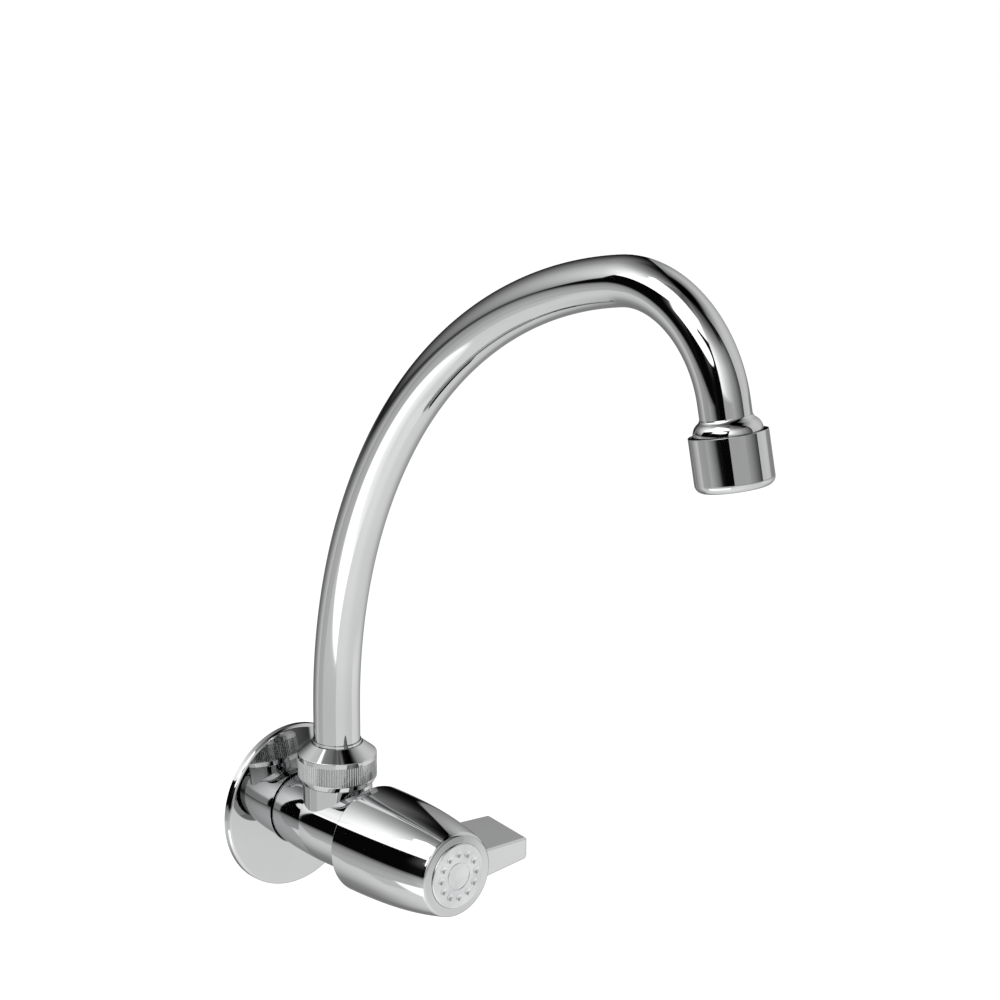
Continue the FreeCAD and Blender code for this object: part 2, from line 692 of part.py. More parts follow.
def spout_nut():
    """Union nut: lower chamfer, knurled band, plain band and cone."""
    thread_bore = BOSS_THREAD_RADIUS + 0.05
    chamber = 12.5
    plain = turned(
        SPOUT_AXIS,
        (thread_bore, NUT_BOTTOM_Z),
        (NUT_BOTTOM_RADIUS, NUT_BOTTOM_Z),
        (NUT_RADIUS - 0.35, KNURL_BOTTOM_Z - 0.5),
        (NUT_RADIUS - KNURL_DEPTH - 0.05, KNURL_BOTTOM_Z),
        (NUT_RADIUS - KNURL_DEPTH - 0.05, KNURL_TOP_Z),
        (NUT_RADIUS, KNURL_TOP_Z + 0.15),
        (NUT_RADIUS, NUT_BAND_TOP_Z),
        (NUT_TOP_RADIUS, NUT_TOP_Z),
        (NUT_HOLE_RADIUS, NUT_TOP_Z),
        (NUT_HOLE_RADIUS, NUT_SHOULDER_Z),
        (chamber, NUT_SHOULDER_Z),
        (chamber, BOSS_TOP_Z + 0.3),
        (thread_bore, BOSS_TOP_Z + 0.3),
    )
    band = prism(SPOUT_AXIS, knurl_points(), KNURL_BOTTOM_Z, KNURL_TOP_Z)
    band = band.cut(rod(SPOUT_AXIS, thread_bore, KNURL_BOTTOM_Z - 1, KNURL_TOP_Z + 1))
    return plain.fuse(band).removeSplitter()


def spout_guide_ring():
    """Flanged bush between the nut and the tube; its rounded lip shows above the nut."""
    inner = TUBE_RADIUS + 0.06
    outer = NUT_HOLE_RADIUS - 0.05
    lip = GUIDE_RING_TOP_Z
    return turned(
        SPOUT_AXIS,
        (inner, TUBE_FOOT_Z + 0.05),
        (STEM_FLANGE_RADIUS, TUBE_FOOT_Z + 0.05),
        (STEM_FLANGE_RADIUS, NUT_SHOULDER_Z),
        (outer, NUT_SHOULDER_Z),
        (outer, lip - 0.25),
        ((outer - 0.08, lip - 0.07), (outer - 0.2, lip)),
        (inner, lip),
    )


def spout_thrust_ring():
    """Slip washer on top of the boss, under the flange of the stem."""
    return tube_ring(SPOUT_AXIS, STEM_JOURNAL_RADIUS + 0.1, STEM_FLANGE_RADIUS,
                     BOSS_TOP_Z, STEM_FLANGE_Z - 0.05)


def spout_stem():
    """Turned foot of the spout: journal with two grooves, flange, spigot inside the tube."""
    bore = 6.0
    spigot = TUBE_RADIUS - TUBE_WALL - 0.02
    spigot_top = 36.0
    lead_in = 0.8
    stem = turned(
        SPOUT_AXIS,
        (bore, STEM_FOOT_Z),
        (STEM_JOURNAL_RADIUS - lead_in, STEM_FOOT_Z),
        (STEM_JOURNAL_RADIUS, STEM_FOOT_Z + lead_in),
        (STEM_JOURNAL_RADIUS, STEM_FLANGE_Z),
        (STEM_FLANGE_RADIUS, STEM_FLANGE_Z),
        (STEM_FLANGE_RADIUS, TUBE_FOOT_Z),
        (spigot, TUBE_FOOT_Z),
        (spigot, spigot_top - 0.5),
        (spigot - 0.5, spigot_top),
        (bore, spigot_top),
    )
    half_groove = 1.15
    groove_floor = 7.5
    for middle in STEM_RING_ZS:
        stem = stem.cut(tube_ring(SPOUT_AXIS, groove_floor, STEM_JOURNAL_RADIUS + 1,
                                  middle - half_groove, middle + half_groove))
    return stem


def spout_orings():
    """Two rings in the grooves of the spout stem."""
    ring_radius = 8.5
    cord_radius = 0.98
    return Part.makeCompound([torus_at(SPOUT_AXIS, ring_radius, cord_radius, z) for z in STEM_RING_ZS])


# ---------------------------------------------------------------- bent tube
def spout_path():
    """Edges of the tube's centre line, the point where the last bend ends, and the final direction."""
    here = Vector(0, -SPOUT_OUT, TUBE_FOOT_Z)
    bend_start = Vector(0, -SPOUT_OUT, FIRST_BEND_Z)
    edges = [Part.LineSegment(here, bend_start).toShape()]
    heading = 0.0
    here = bend_start
    for radius, degrees in TUBE_BENDS:
        toward_centre = Vector(0, -math.cos(heading), -math.sin(heading))
        centre = here + toward_centre * radius
        ends = []
        for share in (0.5, 1.0):
            angle = heading + math.radians(degrees) * share
            ends.append(centre + Vector(0, math.cos(angle), math.sin(angle)) * radius)
        edges.append(Part.Arc(here, ends[0], ends[1]).toShape())
        here = ends[1]
        heading += math.radians(degrees)
    return edges, here, heading


def outlet_axis():
    """Placement at the rim of the aerator shell, with its height along the flow."""
    _, bend_end, heading = spout_path()
    flow = Vector(0, -math.sin(heading), math.cos(heading))
    rim = bend_end + flow * TUBE_END_STRAIGHT
    return FreeCAD.Placement(rim, FreeCAD.Rotation(Vector(1, 0, 0), math.degrees(heading)))


def spout_tube():
    """Bent tube from the stem's flange to the socket in the bell."""
    edges, bend_end, heading = spout_path()
    flow = Vector(0, -math.sin(heading), math.cos(heading))
    tube_end = bend_end + flow * (TUBE_END_STRAIGHT + TUBE_SOCKET_DEPTH)
    edges.append(Part.LineSegment(bend_end, tube_end).toShape())
    path = Part.Wire(edges)
    foot = Vector(0, -SPOUT_OUT, TUBE_FOOT_Z)
    swept = []
    for radius in (TUBE_RADIUS, TUBE_RADIUS - TUBE_WALL):
        ring = Part.Wire(Part.makeCircle(radius, foot, UP))
        swept.append(path.makePipeShell([ring], True, False))
    return swept[0].cut(swept[1])


# ---------------------------------------------------------------- aerator
def bell_shoulder(degrees):
    """Point of the bell's rounded shoulder, from its side wall at 0 back to BELL_LEAN."""
    inward, back = polar(BELL_SHOULDER_ROUND, degrees)
    return (BELL_RADIUS - BELL_SHOULDER_ROUND + inward, BELL_SHOULDER_END - back)


def bell_foot(degrees):
    """Point of the hollow curve between tube and shoulder, from the tube at 0 to BELL_LEAN."""
    outward, ahead = polar(BELL_FOOT_ROUND, degrees)
    whole_outward, whole_ahead = polar(BELL_FOOT_ROUND, BELL_LEAN)
    radius, height = bell_shoulder(BELL_LEAN)
    return (radius + whole_outward - outward, height - whole_ahead + ahead)


def outlet_adapter():
    """Bell brazed on the end of the tube, with the male thread for the shell."""
    seat = TUBE_RADIUS + 0.02
    lip_degrees = 15.0
    lip_radius, start = bell_foot(lip_degrees)
    return turned(
        outlet_axis(),
        (seat, start),
        (lip_radius, start),
        (bell_foot((lip_degrees + BELL_LEAN) / 2), bell_foot(BELL_LEAN)),
        (bell_shoulder(BELL_LEAN / 2), bell_shoulder(0)),
        (BELL_RADIUS, ADAPTER_END - 0.6),
        (BELL_RADIUS - 0.6, ADAPTER_END),
        (8.0, ADAPTER_END),
        (8.0, TUBE_SOCKET_DEPTH),
        (seat, TUBE_SOCKET_DEPTH),
    )


def aerator_shell():
    """Round shell: thin open rim, female thread, rounded lower edge and an inner lip."""
    edge = SHELL_EDGE_RADIUS
    corner = edge * (1 - math.cos(math.pi / 4))
    return turned(
        outlet_axis(),
        (SHELL_MOUTH_RADIUS, 0),
        (SHELL_RADIUS - 0.2, 0),
        (SHELL_RADIUS, 0.2),
        (SHELL_RADIUS, SHELL_LENGTH - edge),
        ((SHELL_RADIUS - corner, SHELL_LENGTH - corner), (SHELL_RADIUS - edge, SHELL_LENGTH)),
        (SHELL_OUTLET_RADIUS, SHELL_LENGTH),
        (SHELL_OUTLET_RADIUS, SHELL_LIP_START),
        (SHELL_THREAD_RADIUS, SHELL_LIP_START),
        (SHELL_THREAD_RADIUS, 1.6),
        (SHELL_MOUTH_RADIUS, 1.6),
    )


def aerator_gasket():
    """Flat rubber ring between the bell and the aerator."""
    return tube_ring(outlet_axis(), 8.6, SHELL_THREAD_RADIUS - 0.15,
                     ADAPTER_END, ADAPTER_END + GASKET_THICKNESS)


def aerator_housing():
    """Moulded cup that holds the jet disc, the screen and the straightener."""
    collar_radius = SHELL_THREAD_RADIUS - 0.15
    cup_radius = SHELL_THREAD_RADIUS - 0.75
    nose_radius = SHELL_OUTLET_RADIUS - 0.1
    start = ADAPTER_END + GASKET_THICKNESS
    collar_end = start + 1.8
    end = SHELL_LENGTH - 0.3
    return turned(
        outlet_axis(),
        (AERATOR_BORE_RADIUS, start),
        (collar_radius, start),
        (collar_radius, collar_end),
        (cup_radius, collar_end),
        (cup_radius, SHELL_LIP_START),
        (nose_radius, SHELL_LIP_START),
        (nose_radius, end),
        (AERATOR_BORE_RADIUS, end),
    )


def aerator_jet_disc():
    """Disc with a ring of small jets."""
    start = ADAPTER_END + GASKET_THICKNESS + 0.1
    thickness = 1.4
    jet_circle = 6.6
    jet_radius = 0.55
    disc = rod(FreeCAD.Placement(), AERATOR_BORE_RADIUS, start, start + thickness)
    jets = []
    for k in range(JET_COUNT):
        x, y = polar(jet_circle, 360 * k / JET_COUNT)
        jets.append(Part.makeCylinder(jet_radius, thickness + 2, Vector(x, y, start - 1)))
    return placed(disc.cut(jets), outlet_axis())


def net(radius, rim, centres, hole, low, high):
    """Thin round plate with a hole outline at each centre, kept inside a rim."""
    corners = []
    for x, y in centres:
        if math.hypot(x, y) < radius - rim:
            corners.append([Vector(x + dx, y + dy, low) for dx, dy in hole])
    wires = [Part.makePolygon(loop + loop[:1]) for loop in corners]
    edge = Part.Wire(Part.makeCircle(radius, Vector(0, 0, low), UP))
    face = Part.makeFace([edge] + wires, "Part::FaceMakerBullseye")
    return placed(face.extrude(Vector(0, 0, high - low)), outlet_axis())


def aerator_screen():
    """Square wire mesh, as a thin plate with square gaps."""
    pitch = 1.5
    half_gap = 0.55
    count = 6
    steps = range(-count, count + 1)
    centres = [(i * pitch, j * pitch) for i in steps for j in steps]
    square = [(-half_gap, -half_gap), (half_gap, -half_gap), (half_gap, half_gap), (-half_gap, half_gap)]
    return net(AERATOR_BORE_RADIUS, 1.2, centres, square, 13.0, 13.4)


def flow_straightener():
    """Honeycomb at the outlet."""
    pitch = 2.3
    across_flats = 1.85
    row_height = pitch * math.sqrt(3) / 2
    centres = []
    for row in range(-5, 6):
        shift = 0.5 * pitch * (row % 2)
        centres += [(column * pitch + shift, row * row_height) for column in range(-5, 6)]
    hexagon = regular(6, across_flats, 30)
    return net(AERATOR_BORE_RADIUS, 1.5, centres, hexagon, 15.2, 18.2)


# ---------------------------------------------------------------- write one file for each piece
PIECES = (
    wall_escutcheon, escutcheon_grip_ring, valve_body, inlet_nipple, inlet_gasket,
    seat_seal, fixed_ceramic_disc, moving_ceramic_disc, cartridge_bonnet, bonnet_oring,
    spindle, spindle_orings, spindle_thrust_washer, spindle_circlip,
    spline_insert, lever_handle, handle_screw, index_button,
    spout_nut, spout_guide_ring, spout_thrust_ring, spout_stem, spout_orings, spout_tube,
    outlet_adapter, aerator_shell, aerator_gasket, aerator_housing,
    aerator_jet_disc, aerator_screen, flow_straightener,
)


def main():
    """Build every piece, write its file and print its volume."""
    os.makedirs("parts", exist_ok=True)
    for make_piece in PIECES:
        shape = make_piece()
        name = make_piece.__name__
        shape.exportStep(os.path.join("parts", name + ".step"))
        print(f"{name}: solids {len(shape.Solids)}, valid {shape.isValid()}, volume {shape.Volume:.1f} mm3")


main()
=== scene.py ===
"""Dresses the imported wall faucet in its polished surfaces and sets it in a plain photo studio.

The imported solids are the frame. Every piece that shows is turned, swept or carved again as a smooth
shell with a true normal at each corner, so that its mirror finish has no facets. Hidden pieces keep
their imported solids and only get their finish. Sizes are in millimetres, in the frame's own axes:
+Y goes into the wall, +Z is up. "Out" is the distance from the wall, which is -Y.
"""

import json
import logging
import math
from abc import ABC, abstractmethod
from dataclasses import dataclass, field
from enum import Enum
from typing import ClassVar, Iterable, Sequence

import bmesh
import bpy
from mathutils import Matrix, Vector
from mathutils.bvhtree import BVHTree
from mathutils.interpolate import poly_3d_calc


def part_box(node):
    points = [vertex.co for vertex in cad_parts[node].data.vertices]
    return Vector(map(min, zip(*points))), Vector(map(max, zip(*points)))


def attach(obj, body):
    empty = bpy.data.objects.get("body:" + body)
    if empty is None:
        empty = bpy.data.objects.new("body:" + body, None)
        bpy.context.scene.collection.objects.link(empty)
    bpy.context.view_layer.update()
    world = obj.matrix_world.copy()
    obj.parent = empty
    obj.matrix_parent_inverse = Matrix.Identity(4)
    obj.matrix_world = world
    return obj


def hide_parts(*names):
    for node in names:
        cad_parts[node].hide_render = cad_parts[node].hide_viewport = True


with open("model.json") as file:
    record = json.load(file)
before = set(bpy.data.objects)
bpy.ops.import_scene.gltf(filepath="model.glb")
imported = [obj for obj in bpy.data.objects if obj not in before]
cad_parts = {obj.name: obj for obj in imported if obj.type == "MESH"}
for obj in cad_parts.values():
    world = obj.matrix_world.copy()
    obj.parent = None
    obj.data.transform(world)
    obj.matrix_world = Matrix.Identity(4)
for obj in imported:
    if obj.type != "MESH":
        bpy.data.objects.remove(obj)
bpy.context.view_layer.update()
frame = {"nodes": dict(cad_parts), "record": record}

log = logging.getLogger("wall_faucet")

Pair = tuple[float, float]
Triple = tuple[float, float, float]

MM = 0.001  # metres in a millimetre
WELD = 1e4  # steps in a millimetre; points in the same step are one point
NUDGE = 1e-9  # millimetres; anything shorter counts as nothing
NEAR = 0.01  # millimetres; places in a bmesh that are this close count as equal


class Body(Enum):
    """Bodies that move apart from each other."""

    TAP = "tap_body"
    HANDLE = "handle"
    SPOUT = "spout"


class Slot(Enum):
    """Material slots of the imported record."""

    CHROME = "polished_chrome"
    BRASS = "turned_brass"
    RUBBER = "black_rubber"
    CERAMIC = "white_ceramic"
    STEEL = "stainless_steel"
    ACETAL = "white_moulding"
    GREY = "grey_moulding"
    BUTTON = "satin_button"


class Carve(Enum):
    """Ways in which one shell changes another."""

    JOIN = "UNION"
    CUT = "DIFFERENCE"


def linked(name: str, data: bpy.types.ID) -> bpy.types.Object:
    """Makes an object of a mesh, lamp or camera and puts it in the scene."""
    made = bpy.data.objects.new(name, data)
    bpy.context.scene.collection.objects.link(made)
    return made


def evaluated_mesh(source: bpy.types.Object) -> bpy.types.Mesh:
    """Plain mesh of an object with its modifiers applied."""
    graph = bpy.context.evaluated_depsgraph_get()
    return bpy.data.meshes.new_from_object(source.evaluated_get(graph))


def dimmed(color: Triple, factor: float) -> Triple:
    """Colour times a factor."""
    red, green, blue = color
    return red * factor, green * factor, blue * factor


# ------------------------------------------------------------------ outlines of turned pieces
@dataclass
class Run:
    """Stretch of an outline: its points and its directions of travel, in (radius, height)."""

    points: list[Pair]
    headings: list[Pair]


class Outline:
    """Closed outline of a turned piece in the half plane of (radius, height)."""

    FINE_ANGLE: ClassVar[float] = math.radians(9)
    FINE_SAG: ClassVar[float] = 0.0012
    CUBIC_STEPS: ClassVar[int] = 64

    def __init__(self, *steps: tuple) -> None:
        """Walks round the outline.

        Args:
            steps: Each is (radius, height), (radius, height, rounding), ((via), (end)) for an arc or
                ((pole), (pole), (end)) for a cubic curve.
        """
        ends = [self._end_of(step) for step in steps]
        self.runs: list[Run] = []
        trims = [self._trim(steps, ends, i) for i in range(len(steps))]
        for i, step in enumerate(steps):
            start = trims[i - 1][1] if trims[i - 1] else ends[i - 1]
            stop = trims[i][0] if trims[i] else ends[i]
            if isinstance(step[0], tuple):
                self.runs.append(self._arc(start, *step) if len(step) == 2 else self._cubic(start, *step))
            elif math.dist(start, stop) > NUDGE:
                self.runs.append(self._line(start, stop))
            if trims[i]:
                self.runs.append(self._arc(trims[i][0], trims[i][2], trims[i][1]))
        self.turn = 1.0 if self._area() > 0 else -1.0

    @staticmethod
    def _end_of(step: tuple) -> Pair:
        """The point at which a step ends."""
        return step[-1] if isinstance(step[0], tuple) else (step[0], step[1])

    @staticmethod
    def _trim(steps: Sequence[tuple], ends: Sequence[Pair], i: int) -> tuple | None:
        """Works out the rounding at the end of step i.

        Args:
            steps: All steps of the outline.
            ends: The point at which each step ends.
            i: Number of the step.

        Returns:
            The arc's first point, last point and middle, or None where the corner is sharp.
        """
        step = steps[i]
        if isinstance(step[0], tuple) or len(step) < 3:
            return None
        corner = Vector(ends[i])
        back = (Vector(ends[i - 1]) - corner).normalized()
        onward = (Vector(ends[(i + 1) % len(steps)]) - corner).normalized()
        half = back.angle(onward) / 2
        reach = step[2] / math.tan(half)
        centre = corner + (back + onward).normalized() * (step[2] / math.sin(half))
        middle = centre + (corner - centre).normalized() * step[2]
        return tuple(corner + back * reach), tuple(corner + onward * reach), tuple(middle)

    @staticmethod
    def _line(start: Pair, stop: Pair) -> Run:
        """Straight run between two points."""
        length = math.dist(start, stop)
        heading = ((stop[0] - start[0]) / length, (stop[1] - start[1]) / length)
        return Run([start, stop], [heading, heading])

    def _arc(self, start: Pair, via: Pair, stop: Pair) -> Run:
        """Round run through three points.

        Args:
            start: First point.
            via: A point between.
            stop: Last point.

        Returns:
            The run, with enough points to look round.
        """
        (ax, ay), (bx, by), (cx, cy) = start, via, stop
        d = 2 * (ax * (by - cy) + bx * (cy - ay) + cx * (ay - by))
        a2, b2, c2 = ax * ax + ay * ay, bx * bx + by * by, cx * cx + cy * cy
        ux = (a2 * (by - cy) + b2 * (cy - ay) + c2 * (ay - by)) / d
        uy = (a2 * (cx - bx) + b2 * (ax - cx) + c2 * (bx - ax)) / d
        radius = math.dist((ux, uy), start)
        first = math.atan2(ay - uy, ax - ux)
        sweep = (math.atan2(cy - uy, cx - ux) - first) % math.tau
        between = (math.atan2(by - uy, bx - ux) - first) % math.tau
        if between > sweep:
            sweep -= math.tau
        by_sag = 2 * math.acos(max(-1.0, 1 - self.FINE_SAG / radius))
        count = max(3, math.ceil(abs(sweep) / min(self.FINE_ANGLE, by_sag)))
        way = math.copysign(1.0, sweep)
        points, headings = [], []
        for k in range(count + 1):
            angle = first + sweep * k / count
            points.append((ux + radius * math.cos(angle), uy + radius * math.sin(angle)))
            headings.append((-way * math.sin(angle), way * math.cos(angle)))
        points[0], points[-1] = start, stop
        return Run(points, headings)

    def _cubic(self, *poles: Pair) -> Run:
        """Cubic curve over four poles."""
        a, b, c, d = (Vector(pole) for pole in poles)
        points, headings = [], []
        for k in range(self.CUBIC_STEPS + 1):
            t = k / self.CUBIC_STEPS
            u = 1 - t
            points.append(tuple(a * u ** 3 + b * (3 * u * u * t) + c * (3 * u * t * t) + d * t ** 3))
            headings.append(tuple(((b - a) * u * u + (c - b) * (2 * u * t) + (d - c) * t * t).normalized()))
        return Run(points, headings)

    def _area(self) -> float:
        """Signed area inside the outline."""
        loop = [point for run in self.runs for point in run.points]
        return sum(a[0] * b[1] - b[0] * a[1] for a, b in zip(loop, loop[1:] + loop[:1])) / 2


# ------------------------------------------------------------------ shells with exact normals
class Shell:
    """Closed surface with its own normal at every corner of every face."""

    def __init__(self) -> None:
        """Starts an empty shell."""
        self.points: list[Vector] = []
        self.faces: list[list[int]] = []
        self.corners: list[list[Vector]] = []
        self._known: dict[tuple[int, int, int], int] = {}

    def _index(self, point: Vector) -> int:
        """Number of a point, welded to one that lies in the same place."""
        key = (round(point.x * WELD), round(point.y * WELD), round(point.z * WELD))
        if key not in self._known:
            self._known[key] = len(self.points)
            self.points.append(point)
        return self._known[key]

    def face(self, points: Sequence[Vector], normals: Sequence[Vector]) -> None:
        """Adds one face, turned so that it looks the way its normals point.

        Args:
            points: Its corners, in order.
            normals: The surface's normal at each corner.
        """
        indices, kept = [], []
        for point, normal in zip(points, normals):
            index = self._index(point)
            if index not in indices:
                indices.append(index)
                kept.append(normal)
        if len(indices) < 3:
            return
        middle = len(indices) // 2
        first = self.points[indices[0]]
        across = (self.points[indices[1]] - first).cross(self.points[indices[-1]] - first)
        across += (self.points[indices[middle]] - first).cross(self.points[indices[-1]] - first)
        if across.dot(sum(kept, Vector())) < 0:
            indices.reverse()
            kept.reverse()
        self.faces.append(indices)
        self.corners.append(kept)

    def patch(self, points: Sequence[Sequence[Vector]], normals: Sequence[Sequence[Vector]]) -> None:
        """Adds a grid of faces that is closed round each row.

        Args:
            points: Rows of points.
            normals: Rows of normals, one for each point.
        """
        for row in range(len(points) - 1):
            count = len(points[row])
            for here in range(count):
                onward = (here + 1) % count
                corners = ((row, here), (row, onward), (row + 1, onward), (row + 1, here))
                self.face([points[r][c] for r, c in corners], [normals[r][c] for r, c in corners])

    @classmethod
    def turned(cls, outline: Outline, axis: Matrix, count: int = 192) -> "Shell":
        """Turns an outline about an axis.

        Args:
            outline: The outline in (radius, height).
            axis: Placement whose third axis is the turning axis.
            count: Faces round the piece.

        Returns:
            The closed shell.
        """
        shell = cls()
        spin = axis.to_3x3()
        circle = [(math.cos(math.tau * k / count), math.sin(math.tau * k / count)) for k in range(count)]
        for run in outline.runs:
            if all(radius < NUDGE for radius, _ in run.points):
                continue
            points = [[axis @ Vector((r * c, r * s, h)) for c, s in circle] for r, h in run.points]
            normals = []
            for along_r, along_h in run.headings:
                n_r, n_h = along_h * outline.turn, -along_r * outline.turn
                normals.append([spin @ Vector((n_r * c, n_r * s, n_h)) for c, s in circle])
            shell.patch(points, normals)
        return shell

    @classmethod
    def from_bmesh(cls, source: bmesh.types.BMesh, flat_area: float) -> "Shell":
        """Takes over a bevelled block, with its large faces kept exactly flat.

        Args:
            source: The block.
            flat_area: Faces over this area, in square millimetres, are flat.

        Returns:
            The shell, with smooth bevels between flat faces.
        """
        shell = cls()
        source.normal_update()
        for f in source.faces:
            flat = f.calc_area() > flat_area
            shell.face([v.co.copy() for v in f.verts],
                       [f.normal.copy() if flat else cls._blended(v, f, flat_area) for v in f.verts])
        return shell

    @staticmethod
    def _blended(vertex: bmesh.types.BMVert, face: bmesh.types.BMFace, flat_area: float) -> Vector:
        """Normal of a bevel at one corner, without the faces that meet it at a sharp edge.

        Args:
            vertex: The corner.
            face: The face of the bevel.
            flat_area: Faces over this area, in square millimetres, are flat.

        Returns:
            The normal.
        """
        beside = [f for f in vertex.link_faces if f.normal.dot(face.normal) > 0.5]
        largest = max(beside, key=lambda f: f.calc_area())
        if largest.calc_area() > flat_area:
            return largest.normal.copy()
        return sum((f.normal for f in beside), Vector()).normalized()

    def raw_mesh(self, name: str, scale: float = 1.0) -> bpy.types.Mesh:
        """Makes a mesh with the shell's own normals.

        Args:
            name: Name of the mesh.
            scale: Factor on all sizes.

        Returns:
            The mesh.
        """
        mesh = bpy.data.meshes.new(name)
        mesh.from_pydata([point * scale for point in self.points], [], self.faces)
        mesh.shade_smooth()
        flat = [tuple(normal) for corners in self.corners for normal in corners]
        mesh.normals_split_custom_set(flat)
        return mesh

    def carved(self, tool: "Shell", how: Carve) -> "Shell":
        """Joins another shell to this one or cuts it out, and carries the normals over.

        Args:
            tool: The other shell.
            how: Whether it is joined or cut.

        Returns:
            The new shell.
        """
        objects = [linked("carve", part.raw_mesh("carve")) for part in (self, tool)]
        modifier = objects[0].modifiers.new("carve", "BOOLEAN")
        modifier.operation = how.value
        modifier.solver = "EXACT"
        modifier.object = objects[1]
        mesh = evaluated_mesh(objects[0])
        sign = -1.0 if how is Carve.CUT else 1.0
        result = Shell._dressed(mesh, ((self, 1.0), (tool, sign)))
        for maker in objects:
            bpy.data.objects.remove(maker)
        return result

    @staticmethod
    def _dressed(mesh: bpy.types.Mesh, sources: Iterable[tuple["Shell", float]]) -> "Shell":
        """Gives each face of a carved mesh the normals of the shell that it came from.

        Args:
            mesh: The carved mesh.
            sources: Each shell that went in, with -1 where its inside now faces out.

        Returns:
            The carved shell.
        """
        result = Shell()
        result.points = [vertex.co.copy() for vertex in mesh.vertices]
        lookups = [(BVHTree.FromPolygons(s.points, s.faces), s, sign) for s, sign in sources]
        for polygon in mesh.polygons:
            best = None
            for tree, shell, sign in lookups:
                _, normal, index, distance = tree.find_nearest(polygon.center)
                distance += 1.0 - abs(normal.dot(polygon.normal))
                if best is None or distance < best[0]:
                    best = (distance, shell, index, sign)
            _, shell, index, sign = best
            corners = [shell.points[i] for i in shell.faces[index]]
            normals = []
            for i in polygon.vertices:
                weights = poly_3d_calc(corners, result.points[i])
                mixed = sum((n * w for n, w in zip(shell.corners[index], weights)), Vector()) * sign
                normals.append(mixed.normalized() if mixed.length > 0.1 else polygon.normal.copy())
            result.faces.append(list(polygon.vertices))
            result.corners.append(normals)
        return result


# ------------------------------------------------------------------ shader maths
class Wire:
    """Socket of a shader tree that takes part in Python sums."""

    def __init__(self, sheet: "NodeSheet", socket: bpy.types.NodeSocket) -> None:
        """Wraps an output socket of a sheet."""
        self.sheet = sheet
        self.socket = socket

    def _sum(self, operation: str, *terms: "Wire | float") -> "Wire":
        """Adds one Math node.

        Args:
            operation: The node's operation.
            terms: Its inputs, in order.

        Returns:
            The node's result.
        """
        node = self.sheet.node("ShaderNodeMath", {"operation": operation}, dict(enumerate(terms)))
        return Wire(self.sheet, node.outputs[0])

    def __add__(self, other: "Wire | float") -> "Wire":
        """This plus other."""
        return self._sum("ADD", self, other)

    __radd__ = __add__

    def __mul__(self, other: "Wire | float") -> "Wire":
        """This times other."""
        return self._sum("MULTIPLY", self, other)

    __rmul__ = __mul__

    def __sub__(self, other: "Wire | float") -> "Wire":
        """This minus other."""
        return self._sum("SUBTRACT", self, other)

    def __rsub__(self, other: "Wire | float") -> "Wire":
        """Other minus this."""
        return self._sum("SUBTRACT", other, self)

    def __truediv__(self, other: "Wire | float") -> "Wire":
        """This over other."""
        return self._sum("DIVIDE", self, other)

    def __rtruediv__(self, other: "Wire | float") -> "Wire":
        """Other over this."""
        return self._sum("DIVIDE", other, self)

    def sine(self) -> "Wire":
        """Sine of this."""
        return self._sum("SINE", self)

    def arc_cosine(self) -> "Wire":
        """Angle, in radians, of which this is the cosine."""
        return self._sum("ARCCOSINE", self)

    def angle_over(self, other: "Wire") -> "Wire":
        """Angle, in radians, of which this over other is the tangent."""
        return self._sum("ARCTAN2", self, other)

    def larger(self, other: "Wire | float") -> "Wire":
        """The larger of this and other."""
        return self._sum("MAXIMUM", self, other)

    def smaller(self, other: "Wire | float") -> "Wire":
        """The smaller of this and other."""
        return self._sum("MINIMUM", self, other)

    def squared(self) -> "Wire":
        """This times itself."""
        return self * self

    def root(self) -> "Wire":
        """Square root of this."""
        return self._sum("SQRT", self)

    def stepped(self, low: float, high: float) -> "Wire":
        """Smooth step of this.

        Args:
            low: Value at which the step starts.
            high: Value at which it ends; below low, the step goes down.

        Returns:
            A number from 0 to 1.
        """
        settings = {"interpolation_type": "SMOOTHSTEP"}
        inputs = {"Value": self, "From Min": low, "From Max": high}
        return Wire(self.sheet, self.sheet.node("ShaderNodeMapRange", settings, inputs).outputs[0])

    def between(self, rise: Pair, fall: Pair) -> "Wire":
        """1 between two smooth steps and 0 outside them.

        Args:
            rise: The value up to which it is 0, and the value from which it is 1.
            fall: The value from which it is 0 again, and the value up to which it is 1.

        Returns:
            A number from 0 to 1.
        """
        return self.stepped(*rise) * self.stepped(*fall)

    def off(self, middle: float, reach: float) -> "Wire":
        """How far this is from a middle, as a share of a reach."""
        return (self - middle) / reach


